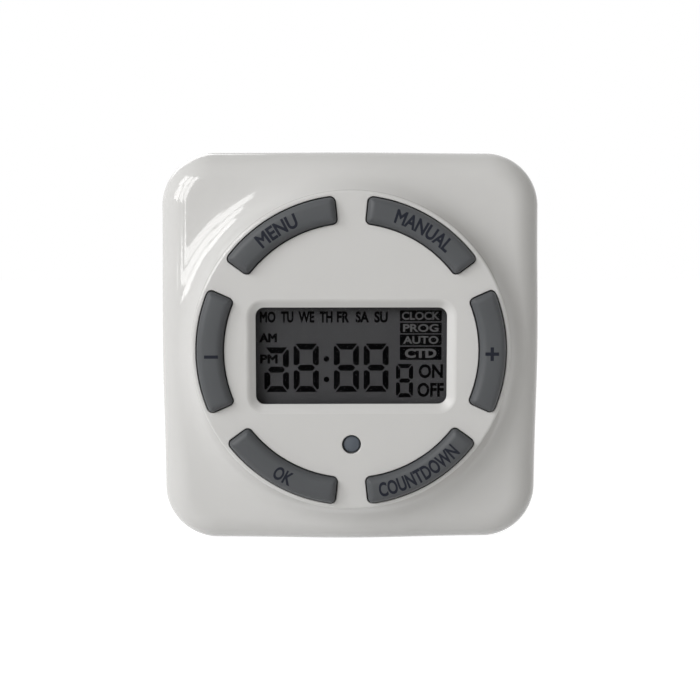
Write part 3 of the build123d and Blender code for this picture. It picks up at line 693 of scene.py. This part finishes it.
@dataclass(frozen=True)
class Cover:
    """The white front cover: dial, flare, rolled edge, bevelled window and key openings."""

    sizes: CoverSizes
    keys: KeySizes
    reset: ResetSizes

    def _flare(self) -> tuple[np.ndarray, np.ndarray, np.ndarray]:
        """The flare's cubic curve, from its four control points.

        Returns:
            Dense tables of its parameter, radius and height.
        """
        t = np.linspace(0, 1, self.sizes.curve_samples)
        weights = np.stack([(1 - t) ** 3, 3 * t * (1 - t) ** 2, 3 * t**2 * (1 - t), t**3], axis=1)
        table = weights @ np.array(self.sizes.curve)
        return t, table[:, 0], table[:, 1]

    def _front_rows(self, edge: Loop, normal: Loop) -> tuple[list[Points], Loop]:
        """Rows from the dial's rim down the flare and over the rolled edge to the seam.

        In each column the flare is read from its curve by radius. The rolled edge is the
        path of a ball inside the wall: its centre lies one radius in from the wall, as high
        as the ball fits under the flare, and the edge is the ball out to where it touches.

        Args:
            edge: The body's outline.
            normal: Its outward directions.

        Returns:
            The rows of points and the rim's directions as x and z.
        """
        s = self.sizes
        table_share, table_radius, table_height = self._flare()
        joint = edge - s.join * normal
        joint_radius = np.hypot(joint[:, 0], joint[:, 1])
        ray = joint / joint_radius[:, None]

        depth = np.linspace(0, 2 * s.edge_round, s.roll_samples)[:, None]
        inner = edge[None] - np.minimum(depth, s.join)[..., None] * normal[None]
        radius = np.hypot(inner[..., 0], inner[..., 1]) - np.maximum(depth - s.join, 0)
        height = np.interp(radius, table_radius, table_height)
        ball = np.sqrt(np.maximum(s.edge_round**2 - (depth - s.edge_round) ** 2, 0))
        room = np.where(radius > s.curve[0][0], height - ball, np.inf)
        centre = room.min(axis=0)
        touch = depth[room.argmin(axis=0), 0]

        def roll(distance: np.ndarray, flare: np.ndarray) -> np.ndarray:
            """The surface's height at a distance in from the wall."""
            reach = np.maximum(s.edge_round**2 - (distance - s.edge_round) ** 2, 0)
            return np.where(distance < touch, centre + np.sqrt(reach), flare)

        rows = [lift(ray * s.rim_strip, FACE)]
        for turn in np.linspace(0, pi / 2, s.rim_rows):
            rim = s.rim - s.rim_round + s.rim_round * sin(turn)
            rows.append(lift(ray * rim, FACE - s.rim_round + s.rim_round * cos(turn)))
        joint_share = np.interp(joint_radius, table_radius, table_share)
        for share in np.linspace(0, 1, s.flare_rows):
            flare_radius = np.interp(share * joint_share, table_share, table_radius)
            flare = np.interp(share * joint_share, table_share, table_height)
            distance = s.join + joint_radius - flare_radius
            rows.append(lift(ray * flare_radius[:, None], roll(distance, flare)))
        for step in s.edge_round * (1 - np.cos(np.linspace(pi / 2, 0, s.edge_rows))):
            flat = edge - step * normal
            flare = np.interp(np.hypot(flat[:, 0], flat[:, 1]), table_radius, table_height)
            rows.append(lift(flat, roll(np.full(len(flat), step), flare)))
        for share in np.linspace(s.wall_start, 1, s.wall_rows):
            rows.append(lift(edge, centre * (1 - share) + (s.seam + s.seam_cut) * share))
        return rows, ray

    def _inner_rows(self, edge: Loop, normal: Loop, ray: Loop) -> list[Points]:
        """Rows from the seam through the lip's rebate and up inside the shell.

        Args:
            edge: The body's outline.
            normal: Its outward directions.
            ray: The rim's directions.

        Returns:
            The rows of points.
        """
        s = self.sizes
        steps = [(s.seam_cut, s.seam), (s.rebate[0], s.seam), s.rebate, (s.wall, s.rebate[1])]
        for turn in np.linspace(0, pi / 2, s.inner_rows):
            step = s.wall + s.inner_round * (1 - cos(turn))
            steps.append((step, s.land_back - s.inner_round + s.inner_round * sin(turn)))
        rows = [lift(edge - step * normal, height) for step, height in steps]
        return rows + [lift(ray * s.cavity, s.land_back), lift(ray * s.cavity, s.face_back)]

    def _opening(self, surface: Surface, shape: Callable[[float], Loop]) -> tuple[Loop, Loop]:
        """The wall of one opening, with a quarter round at its front edge.

        Args:
            surface: Where the wall goes.
            shape: Gives the opening's loop, grown by a distance.

        Returns:
            Its loops in the front and back face.
        """
        s = self.sizes
        soft = s.opening_round
        front, back = shape(soft + s.strip), shape(0.0)
        rows = [lift(front, FACE)]
        for turn in np.linspace(0, pi / 2, s.opening_rows):
            rows.append(lift(shape(soft * (1 - sin(turn))), FACE - soft * (1 - cos(turn))))
        surface.grid([*rows, lift(back, s.face_back)])
        return front, back

    def _window(self, surface: Surface) -> tuple[Loop, Loop]:
        """The window's bevel, its wall and the lens seat.

        The bevel is a straight slope that blends into the face by a smooth minimum.

        Args:
            surface: Where they go.

        Returns:
            Their loops in the front and back face.
        """
        s = self.sizes
        loop, normal = outline(*s.window, s.window_corner, s.window_points)
        loop[:, 1] += s.window_z
        reach = s.bevel + s.bevel_blend
        steps = np.concatenate([[reach + s.strip], np.linspace(reach, 0, s.bevel_rows)])
        slope = FACE - s.bevel_depth * (s.bevel - steps) / s.bevel
        mix = np.maximum(s.bevel_blend - np.abs(slope - FACE), 0) / s.bevel_blend
        heights = np.minimum(slope, FACE) - mix**2 * s.bevel_blend / 4
        heights[steps >= reach - TINY] = FACE
        rows = [lift(loop + step * normal, height) for step, height in zip(steps, heights)]
        seat, _ = outline(*s.lens_seat, s.seat_corner, s.window_points)
        seat[:, 1] += s.window_z
        seat_height = s.face_back + s.seat_depth
        rows += [lift(loop, seat_height), lift(seat, seat_height), lift(seat, s.face_back)]
        surface.grid(rows)
        return loop + steps[0] * normal, seat

    def _boss(self, surface: Surface, boss: Boss, signs: tuple[int, int], high: float) -> None:
        """A screw boss: a tube with a blind bore, standing on the inside of the cover.

        Args:
            surface: Where it goes.
            boss: Its sizes.
            signs: The quarter that it stands in, as the signs of x and z.
            high: The height of its closed end.
        """
        centre = (signs[0] * boss.x, signs[1] * boss.z)
        radii = (boss.outer, boss.outer, boss.bore, boss.bore)
        heights = (high, boss.low, boss.low, high - boss.roof)
        rows = [
            lift(circle(centre, radius, boss.sides), height) for radius, height in zip(radii, heights)
        ]
        surface.grid(rows)
        surface.fan(rows[0])
        surface.fan(rows[-1])

    def _satin_bevel(self, piece: Piece) -> None:
        """Gives the window's bevel, which lies below the face, its duller finish.

        Args:
            piece: The cover.
        """
        s = self.sizes
        mesh = piece.data
        middles = np.empty(3 * len(mesh.polygons))
        mesh.polygons.foreach_get("center", middles)
        x, y, z = middles.reshape(-1, 3).T / MM
        reach = s.bevel + s.bevel_blend
        near = (np.abs(x) < s.window[0] + reach) & (np.abs(z - s.window_z) < s.window[1] + reach)
        satin = near & (y > -FACE) & (y < -s.face_back)
        mesh.materials.append(SATIN.material())
        mesh.polygons.foreach_set("material_index", satin.astype(np.int32))

    def build(self) -> Piece:
        """Makes the cover as one closed shell and puts it in the CAD cover's place.

        Returns:
            The cover.
        """
        s = self.sizes
        surface = Surface()
        edge, normal = outline(s.half_x, s.half_z, s.corner, s.edge_points)
        rows, ray = self._front_rows(edge, normal)
        surface.grid(rows + self._inner_rows(edge, normal, ray))
        shapes = [partial(self.keys.loop, angle) for angle in KEY_ANGLES.values()]
        shapes.append(self.reset.opening)
        loops = [self._opening(surface, shape) for shape in shapes]
        loops.append(self._window(surface))
        fronts, backs = zip(*loops)
        surface.plate(ray * s.rim_strip, fronts, FACE)
        surface.plate(ray * s.cavity, backs, s.face_back)
        for signs in ((-1, -1), (-1, 1), (1, -1), (1, 1)):
            self._boss(surface, s.board_boss, signs, s.face_back)
            self._boss(surface, s.corner_boss, signs, s.land_back)
        piece = surface.object("cover_shell", WHITE)
        self._satin_bevel(piece)
        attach(piece, "timer_body")
        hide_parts("front_cover")
        return piece


@dataclass(frozen=True)
class Lettering:
    """One word in the built-in sans typeface, scaled to a length and a height in millimetres.

    Weight, relief and the slack of a cut are in the typeface's own units.
    """

    word: str
    length: float
    rise: float
    weight: float = 0.03
    cuts: int = 0
    relief: float = 0.01
    slack: float = 1e-6
    smoothness: int = 4

    def _mesh(self) -> tuple[Loop, Faces, np.ndarray]:
        """The word's outline, cut across into strips that can follow a curved top.

        Returns:
            The points, centred and scaled, the faces, and each point's height from -1 to 1.
        """
        curve = bpy.data.curves.new(f"word_{self.word}", "FONT")
        curve.body = self.word
        curve.bevel_depth = self.weight
        curve.bevel_resolution = 0
        curve.extrude = self.relief
        curve.resolution_u = self.smoothness
        carrier = link(curve.name, curve)
        bpy.context.view_layer.update()
        shape = carrier.evaluated_get(bpy.context.evaluated_depsgraph_get())
        slicer = bmesh.new()
        slicer.from_mesh(shape.to_mesh())
        shape.to_mesh_clear()
        rows = [vertex.co.y for vertex in slicer.verts]
        for cut in np.linspace(min(rows), max(rows), self.cuts + 2)[1:-1]:
            parts = slicer.verts[:] + slicer.edges[:] + slicer.faces[:]
            plane = {"plane_co": (0, cut, 0), "plane_no": (0, 1, 0)}
            bmesh.ops.bisect_plane(slicer, geom=parts, dist=self.slack, **plane)
        slicer.verts.index_update()
        points = np.array([vertex.co for vertex in slicer.verts])
        faces = [[vertex.index for vertex in face.verts] for face in slicer.faces]
        slicer.free()
        bpy.data.objects.remove(carrier)
        bpy.data.curves.remove(curve)
        flat = points[:, :2]
        low, high = flat.min(axis=0), flat.max(axis=0)
        scale = np.array([self.length, self.rise]) / (high - low)
        return (flat - (low + high) / 2) * scale, faces, points[:, 2] / (self.relief + self.weight)

    def along_arc(self, keys: KeySizes, angle: float, outward: bool) -> tuple[Points, Faces]:
        """Bends the word round the dial's axis and lays it on a key's crown.

        Args:
            keys: The keys' sizes.
            angle: The word's place round the dial, in degrees from the right.
            outward: Whether the tops of its letters point away from the axis.

        Returns:
            Its points and faces.
        """
        flat, faces, layer = self._mesh()
        sign = 1 if outward else -1
        turn = radians(angle) - sign * flat[:, 0] / keys.middle
        reach = keys.middle + sign * flat[:, 1]
        around = np.stack([reach * np.cos(turn), reach * np.sin(turn)], axis=1)
        return lift(around, keys.top(reach) + INK + INK * layer), faces

    def straight(self, centre: tuple[float, float], height: float) -> tuple[Points, Faces]:
        """The word's points and faces centred on a point of the face plane."""
        flat, faces, layer = self._mesh()
        return lift(flat + centre, height + INK * layer), faces


@dataclass(frozen=True)
class ArcWord:
    """A word on an arc key: its place in degrees, its size, and whether its tops point outward."""

    word: str
    angle: float
    length: float
    rise: float
    outward: bool


ARC_WORDS = {
    "menu": ArcWord("MENU", 121.5, 7.0, 2.25, True),
    "manual": ArcWord("MANUAL", 59.5, 9.9, 2.25, True),
    "ok": ArcWord("OK", 241.0, 3.1, 2.2, False),
    "countdown": ArcWord("COUNTDOWN", -60.9, 14.0, 2.35, False),
}
# The bars of each sign, as the x and z of the middle, half the width and half the height.
SIGN_BARS: dict[str, tuple[Box, ...]] = {
    "minus": ((-22.0, -0.7, 1.08, 0.25),),
    "plus": ((22.05, -0.3, 1.07, 0.26), (22.05, -0.3, 0.26, 1.07)),
}


@dataclass(frozen=True)
class Keypad:
    """The six arc-shaped keys and the round reset key, with their printed words.

    A word is cut into strips, a sign's bars have soft corners, and where two bars cross, the
    second stands higher by the lap, in millimetres.
    """

    sizes: KeySizes
    reset: ResetSizes
    word_cuts: int = 7
    bar_corner: float = 0.06
    bar_lap: float = 0.002

    def _cap_row(self, angle: float, depth: float) -> Points:
        """The cap's row at a depth in from its outline: the crown less a superelliptic edge.

        Args:
            angle: The key's place round the dial.
            depth: The distance in from its outline.

        Returns:
            The closed row of points.
        """
        s = self.sizes
        loop = s.loop(angle, -s.gap - depth)
        inner = max(0.0, 1 - depth / s.edge)
        fall = s.edge * (1 - (1 - inner**s.softness) ** (1 / s.softness))
        return lift(loop, s.top(np.hypot(loop[:, 0], loop[:, 1])) - fall)

    def arc_key(self, name: str, angle: float) -> Piece:
        """One arc key: rounded cap, flange behind the cover and stem, as one closed skin.

        Loops grow from the key's mid arc to the cap's outline for the top, and run down the
        wall, out over the flange and in to the stem behind it.

        Args:
            name: The key's name.
            angle: Its place round the dial.

        Returns:
            The key's skin.
        """
        s = self.sizes
        surface = Surface()
        half = (s.outer - s.inner) / 2 - s.gap
        edge_depths = s.edge * (1 - np.cos(np.linspace(0, pi / 2, s.edge_rows)))
        depths = np.concatenate([np.linspace(half, s.edge, s.top_rows)[:-1], edge_depths[::-1]])
        rows = [self._cap_row(angle, depth) for depth in depths]
        cap = s.loop(angle, -s.gap)
        flange = s.loop(angle, s.flange_lip)
        centre = np.array([cos(radians(angle)), sin(radians(angle))]) * s.middle
        toward = flange - centre
        stem = centre + s.stem * toward / np.hypot(toward[:, 0], toward[:, 1])[:, None]
        rows += [lift(cap, s.flange_front), lift(flange, s.flange_front), lift(flange, s.flange_back)]
        rows += [lift(stem, s.flange_back), lift(stem, s.stem_back)]
        surface.grid(rows)
        surface.fan(rows[-1])
        return surface.object(f"cap_{name}", RUBBER)

    def reset_key(self) -> Piece:
        """The small round key: a domed button with a rounded edge, on a flange and a stem.

        Returns:
            The key's skin.
        """
        s, r = self.sizes, self.reset
        cap = r.crown_reach + r.edge_reach
        crown = np.linspace(0, r.crown_reach, r.crown_rows)
        profile = [(reach, r.front - r.crown * reach**2) for reach in crown]
        for turn in np.linspace(r.edge_start, pi / 2, r.edge_rows):
            profile.append(
                (r.crown_reach + r.edge_reach * sin(turn), r.edge_height + r.edge_rise * cos(turn))
            )
        profile += [(cap, s.flange_front), (r.flange, s.flange_front), (r.flange, s.flange_back)]
        profile += [(r.stem, s.flange_back), (r.stem, s.stem_back)]
        rows = [lift(circle((0.0, r.z), radius, r.sides), height) for radius, height in profile]
        surface = Surface()
        surface.grid(rows)
        surface.fan(rows[-1])
        return surface.object("cap_reset", RESET)

    def _sign(self, key: str, bars: tuple[Box, ...]) -> Piece:
        """A plus or minus sign on its key, made of bars.

        Args:
            key: The key's name.
            bars: The bars' places and sizes.

        Returns:
            The sign.
        """
        surface = Surface()
        top = self.sizes.front + INK
        for number, (x, z, half_x, half_z) in enumerate(bars):
            loop, _ = outline(half_x, half_z, self.bar_corner, MARK_POINTS)
            surface.prism(loop + (x, z), top - 2 * INK, top + self.bar_lap * number)
        return surface.object(f"legend_{key}", LEGEND)

    def build(self) -> list[Piece]:
        """Makes the keys' skins, which stand in the CAD keys' places, and their words and signs.

        Returns:
            The pieces.
        """
        caps = {name: self.arc_key(name, angle) for name, angle in KEY_ANGLES.items()}
        caps["reset"] = self.reset_key()
        for name, piece in caps.items():
            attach(piece, f"{name}_key")
            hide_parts(f"key_{name}")
        legends = {}
        for key, spec in ARC_WORDS.items():
            letters = Lettering(spec.word, spec.length, spec.rise, cuts=self.word_cuts)
            points, faces = letters.along_arc(self.sizes, spec.angle, spec.outward)
            legends[key] = make_piece(f"legend_{key}", points, faces, LEGEND, WELD_GAP)
        for key, bars in SIGN_BARS.items():
            legends[key] = self._sign(key, bars)
        for key, piece in legends.items():
            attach(piece, f"{key}_key")
        return [*caps.values(), *legends.values()]


class Segment(Enum):
    """The seven bars of a digit."""

    TOP = "a"
    UPPER_RIGHT = "b"
    LOWER_RIGHT = "c"
    BOTTOM = "d"
    LOWER_LEFT = "e"
    UPPER_LEFT = "f"
    MIDDLE = "g"


@dataclass(frozen=True)
class Word:
    """A word of the display: its sides from the display's middle and its strokes' weight."""

    text: str
    left: float
    right: float
    low: float = 5.2
    high: float = 7.0
    weight: float = 0.038


DARK_WORDS = (
    Word("MO", -14.6, -12.1),
    Word("TU", -11.25, -9.25),
    Word("WE", -8.45, -5.9),
    Word("TH", -5.05, -3.0),
    Word("FR", -2.3, -0.3),
    Word("SA", 0.7, 2.85),
    Word("SU", 3.7, 5.85),
    Word("AM", -14.75, -11.9, 2.05, 3.5, 0.05),
    Word("PM", -14.6, -11.8, -1.35, 0.1),
    Word("ON", 10.85, 14.75, -3.76, -1.5, 0.034),
    Word("OFF", 10.65, 14.9, -6.8, -4.5, 0.034),
)
PALE_WORDS = (
    Word("CLOCK", 8.1, 14.2, 5.63, 6.94, 0.03),
    Word("PROG", 8.3, 14.0, 3.7, 4.97, 0.03),
    Word("AUTO", 8.3, 14.0, 1.77, 3.05, 0.03),
    Word("CTD", 8.6, 13.7, -0.50, 1.03, 0.05),
)


@dataclass(frozen=True)
class Display:
    """The marks of the liquid crystal display, just in front of its glass, in millimetres.

    A digit's box is its left, right, low and high side, and the labels' boxes are given by
    their low and high side. The sizes of a bar's corners are shares of the bar's width.
    """

    plane: float = 31.215
    pale_plane: float = 31.23
    middle_z: float = -0.75
    digits: tuple[Box, ...] = (
        (-13.95, -10.0, -5.95, 1.25),
        (-9.25, -5.2, -5.95, 1.85),
        (-2.8, 1.25, -5.95, 1.85),
        (2.0, 6.0, -5.95, 1.85),
    )
    stroke: float = 0.97
    seconds: Box = (7.2, 9.95, -6.85, -1.45)
    seconds_stroke: float = 0.68
    bar_gap: float = 0.085
    bar_inset: float = 0.3
    bar_cut: float = 0.36
    bar_point: float = 0.46
    bar_blunt: float = 0.56
    colon_x: float = -3.98
    colon_z: tuple[float, float] = (-0.63, -3.93)
    dot: float = 0.45
    dot_sides: int = 24
    labels: tuple[tuple[float, float], ...] = ((5.42, 7.15), (3.49, 5.17), (1.53, 3.28), (-0.81, 1.33))
    label_x: float = 11.15
    label_half: float = 3.35
    label_corner: float = 0.12

    def _bars(self, box: Box, stroke: float) -> dict[Segment, Loop]:
        """The seven bars of a digit in its box, worked out for one corner and mirrored.

        The outer bars are mitred at the corners, with the corner's tip cut, and all the
        bars are pointed where they meet the middle one.

        Args:
            box: The digit's left, right, low and high side.
            stroke: The bars' width.

        Returns:
            The bars' outlines, by segment.
        """
        left, right, bottom, high = box
        gap, point = self.bar_gap * stroke, self.bar_point * stroke
        inset, cut, blunt = self.bar_inset * stroke, self.bar_cut * stroke, self.bar_blunt * stroke
        half_x, half_z = (right - left) / 2, (high - bottom) / 2
        centre = np.array([left + half_x, bottom + half_z + self.middle_z])
        inner_x, inner_z, low = half_x - stroke, half_z - stroke, stroke / 2
        reach = inner_x - gap
        top = np.array(
            [(-half_x + inset, half_z), (half_x - inset, half_z), (reach, inner_z), (-reach, inner_z)]
        )
        outer = [(half_x, half_z - blunt), (half_x - inset, half_z - cut), (inner_x, inner_z - inset)]
        lower = [(inner_x, low + gap + inset / 2), (half_x - point, gap + inset), (half_x, blunt)]
        side = np.array(outer + lower)
        tips = [(-reach - point, 0), (-reach, -low), (reach, -low)]
        middle = np.array(tips + [(reach + point, 0), (reach, low), (-reach, low)])
        return {
            Segment.TOP: centre + top,
            Segment.BOTTOM: centre + top * (1, -1),
            Segment.UPPER_RIGHT: centre + side,
            Segment.UPPER_LEFT: centre + side * (-1, 1),
            Segment.LOWER_RIGHT: centre + side * (1, -1),
            Segment.LOWER_LEFT: centre + side * (-1, -1),
            Segment.MIDDLE: centre + middle,
        }

    def _figures(self) -> Piece:
        """The digits' bars, the colon and the labels' dark boxes, as one piece.

        The first digit has no upper left bar, as in the photo.

        Returns:
            The piece.
        """
        figures = [self._bars(box, self.stroke) for box in self.digits]
        figures[0].pop(Segment.UPPER_LEFT)
        figures.append(self._bars(self.seconds, self.seconds_stroke))
        loops = [bar for figure in figures for bar in figure.values()]
        for z in self.colon_z:
            loops.append(circle((self.colon_x, z + self.middle_z), self.dot, self.dot_sides))
        for low, high in self.labels:
            loop, _ = outline(self.label_half, (high - low) / 2, self.label_corner, MARK_POINTS)
            loops.append(loop + (self.label_x, (low + high) / 2 + self.middle_z))
        surface = Surface()
        for loop in loops:
            surface.prism(loop, self.plane - INK, self.plane + INK)
        return surface.object("lcd_digits", SEGMENT)

    def _words(self, name: str, words: tuple[Word, ...], finish: Finish, height: float) -> Piece:
        """Several straight words as one piece.

        Args:
            name: The piece's name.
            words: The words.
            finish: Their finish.
            height: The height at which they lie.

        Returns:
            The piece.
        """
        points, faces, count = [], [], 0
        for word in words:
            letters = Lettering(word.text, word.right - word.left, word.high - word.low, word.weight)
            centre = ((word.left + word.right) / 2, (word.low + word.high) / 2 + self.middle_z)
            part, part_faces = letters.straight(centre, height)
            points.append(part)
            faces += [[index + count for index in face] for face in part_faces]
            count += len(part)
        return make_piece(name, np.concatenate(points), faces, finish, WELD_GAP)

    def build(self) -> list[Piece]:
        """Makes the digits, boxes and words of the display.

        Returns:
            The pieces.
        """
        pieces = [
            self._figures(),
            self._words("lcd_words", DARK_WORDS, SEGMENT, self.plane),
            self._words("lcd_labels", PALE_WORDS, LABEL, self.pale_plane),
        ]
        for piece in pieces:
            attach(piece, "timer_body")
        return pieces


# The finish of every CAD node. The cover and the keys are hidden, but keep theirs.
NODE_FINISHES = {
    WHITE: ("front_cover", "rear_housing", "outlet_face"),
    LENS: ("display_window",),
    PANEL: ("display_glass",),
    INNER: ("display_frame", "blade_retainer", "contact_carrier"),
    RUBBER_STRIP: ("rubber_connectors",),
    BOARD: ("display_board", "power_board"),
    RESIN: ("controller_chip",),
    CARBON: ("contact_pads", *(f"pill_{name}" for name in KEY_NAMES)),
    RUBBER: ("keypad_sheet", *(f"key_{name}" for name in KEY_NAMES)),
    STEEL: (
        "quartz_crystal",
        "housing_screws",
        "display_board_screws",
        "power_board_screws",
        "retainer_screws",
    ),
    SLEEVE: ("relay", "electrolytic_capacitor"),
    YELLOW: ("film_capacitor",),
    GREEN: ("backup_cell",),
    BLUE: ("varistor",),
    BLACK: ("rectifier_diodes", "board_header"),
    PLATED: ("neutral_blade", "hot_blade", "ground_pin"),
    BRASS: ("neutral_contact", "hot_contact", "ground_contact", "ground_strap"),
}


def dress_nodes() -> int:
    """Gives every CAD node its finish.

    Returns:
        How many nodes it dressed.
    """
    finishes = {name: finish for finish, names in NODE_FINISHES.items() for name in names}
    for name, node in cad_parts.items():
        node.data.materials.clear()
        node.data.materials.append(finishes[name].material())
    return len(finishes)


@dataclass(frozen=True)
class Studio:
    """The photo's viewpoint, its window light, the room and the pale floor.

    Lengths are in metres, angles in degrees, and the floor's patches in millimetres.
    """

    distance: float = 0.165
    elevation: float = 4.6
    azimuth: float = -1.0
    lens: float = 53.8
    clip: tuple[float, float] = (0.005, 20.0)
    aim: tuple[float, float, float] = (-0.00025, -0.034, 0.00028)
    window_azimuth: float = 72.0
    window_distance: float = 0.75
    window_left: tuple[float, float] = (23.0, 73.0)
    window_up: tuple[float, float] = (13.0, 42.0)
    window_colour: tuple[float, float, float] = (1.0, 0.995, 0.985)
    window_power: float = 9.4
    panes: tuple[int, int] = (3, 2)
    bar: float = 0.006
    back_at: tuple[float, float, float] = (-0.45, 0.9, 0.7)
    back_size: float = 0.6
    back_power: float = 2.0
    room_colour: Colour = (1.0, 0.965, 0.885, 1.0)
    room_power: float = 0.24
    backdrop: Colour = (1.0, 1.0, 1.0, 1.0)
    floor_z: float = -0.032
    floor_half: float = 3.0
    floor_cells: int = 8
    floor_patch: float = 400.0
    floor_detail: float = 2.0
    floor_shade: tuple[float, float] = (0.27, 0.30)
    floor_glow: float = 0.95
    floor_plain: Colour = (0.92, 0.92, 0.915, 1.0)

    def _hang(self, data: bpy.types.ID, place: Vector, look: Vector, up: str = "Y") -> bpy.types.Object:
        """Puts a lamp or the camera at a place.

        Args:
            data: The lamp or camera.
            place: Where it hangs.
            look: The direction in which it looks.
            up: Which of its axes points up.

        Returns:
            Its object.
        """
        rig = link(data.name, data)
        rig.location = place
        rig.rotation_euler = look.to_track_quat("-Z", up).to_euler()
        return rig

    def camera(self) -> None:
        """Sets the camera at the photo's viewing angle."""
        lens = bpy.data.cameras.new("camera")
        lens.lens = self.lens
        lens.clip_start, lens.clip_end = self.clip
        tilt, turn = radians(self.elevation), radians(self.azimuth)
        back = Vector((sin(turn) * cos(tilt), -cos(turn) * cos(tilt), sin(tilt)))
        bpy.context.scene.camera = self._hang(lens, Vector(self.aim) + back * self.distance, -back)

    def window(self) -> None:
        """The key light: an upright window of a few panes, whose bars show in the glossy shell.

        Its plane faces the object from one azimuth, and its sides are set by the angles to
        the left and up at which they are seen from the object.
        """
        turn = radians(self.window_azimuth)
        toward = Vector((sin(turn), cos(turn), 0))
        across = Vector((-cos(turn), sin(turn), 0))
        sides = [tan(radians(angle) - turn) * self.window_distance for angle in self.window_left]
        rises = [tan(radians(angle)) * self.window_distance for angle in self.window_up]
        columns, rows = self.panes
        width = (sides[1] - sides[0] - self.bar * (columns - 1)) / columns
        height = (rises[1] - rises[0] - self.bar * (rows - 1)) / rows
        for number in range(columns * rows):
            column, row = number % columns, number // columns
            light = bpy.data.lights.new(f"pane_{number}", "AREA")
            light.shape = "RECTANGLE"
            light.size, light.size_y = width, height
            light.energy = self.window_power / (columns * rows)
            light.color = self.window_colour
            side = sides[0] + width / 2 + column * (width + self.bar)
            rise = rises[0] + height / 2 + row * (height + self.bar)
            place = Vector((0, -FACE * MM, rise)) - toward * self.window_distance + across * side
            self._hang(light, place, toward, "Z")

    def back_fill(self) -> None:
        """A large soft lamp behind the object, so that its back can be seen too."""
        lamp = bpy.data.lights.new("back_fill", "AREA")
        lamp.size = self.back_size
        lamp.energy = self.back_power
        self._hang(lamp, Vector(self.back_at), -Vector(self.back_at))

    def room(self) -> None:
        """Even room light, and a white backdrop wherever the camera looks."""
        graph = Graph(bpy.data.worlds.new("room"))
        light = {"Color": self.room_colour, "Strength": self.room_power}
        room = graph.out("ShaderNodeBackground", light)
        backdrop = graph.out("ShaderNodeBackground", {"Color": self.backdrop})
        mix = graph.out("ShaderNodeMixShader", {0: graph.looked_at(), 1: room, 2: backdrop})
        bpy.context.scene.world = graph.finish(mix, "World")

    def floor(self) -> None:
        """A plain pale floor under the body, white where the camera looks but for soft shadows."""
        graph = Graph(bpy.data.materials.new("pale_floor"))
        soft = graph.noise(graph.place(), self.floor_patch, self.floor_detail)
        matt = graph.out("ShaderNodeBsdfDiffuse", {"Color": graph.between(soft, *self.floor_shade)})
        glow = graph.out("ShaderNodeEmission", {"Strength": self.floor_glow})
        seen = graph.out("ShaderNodeAddShader", {0: matt, 1: glow})
        plain = graph.out("ShaderNodeBsdfDiffuse", {"Color": self.floor_plain})
        mix = graph.out("ShaderNodeMixShader", {0: graph.looked_at(), 1: plain, 2: seen})
        count = self.floor_cells + 1
        across = np.linspace(-self.floor_half, self.floor_half, count)
        x, y = np.meshgrid(across, across, indexing="ij")
        points = np.stack([x.ravel(), y.ravel(), np.full(x.size, self.floor_z)], axis=1)
        near = (np.arange(count - 1)[:, None] * count + np.arange(count - 1)[None]).ravel()
        faces = np.stack([near, near + count, near + count + 1, near + 1], axis=1)
        mesh = bpy.data.meshes.new("floor")
        mesh.from_pydata(points.tolist(), [], faces.tolist())
        mesh.materials.append(graph.finish(mix))
        floor = link("floor", mesh)

    def build(self) -> None:
        """Sets up the camera, the lights, the room and the floor."""
        self.camera()
        self.window()
        self.back_fill()
        self.room()
        self.floor()
        bpy.context.scene.view_settings.view_transform = "Standard"


def main() -> None:
    """Builds the visible pieces in order, dresses the rest and sets the studio."""
    logging.basicConfig(level=logging.INFO, format="%(message)s")
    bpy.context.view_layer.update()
    keys, reset = KeySizes(), ResetSizes()
    pieces = [Cover(CoverSizes(), keys, reset).build()]
    pieces += Keypad(keys, reset).build()
    pieces += Display().build()
    for piece in pieces:
        LOG.info("%s: %d faces", piece.name, len(piece.data.polygons))
    LOG.info("%d nodes dressed", dress_nodes())
    Studio().build()


if __name__ == "__main__":
    main()
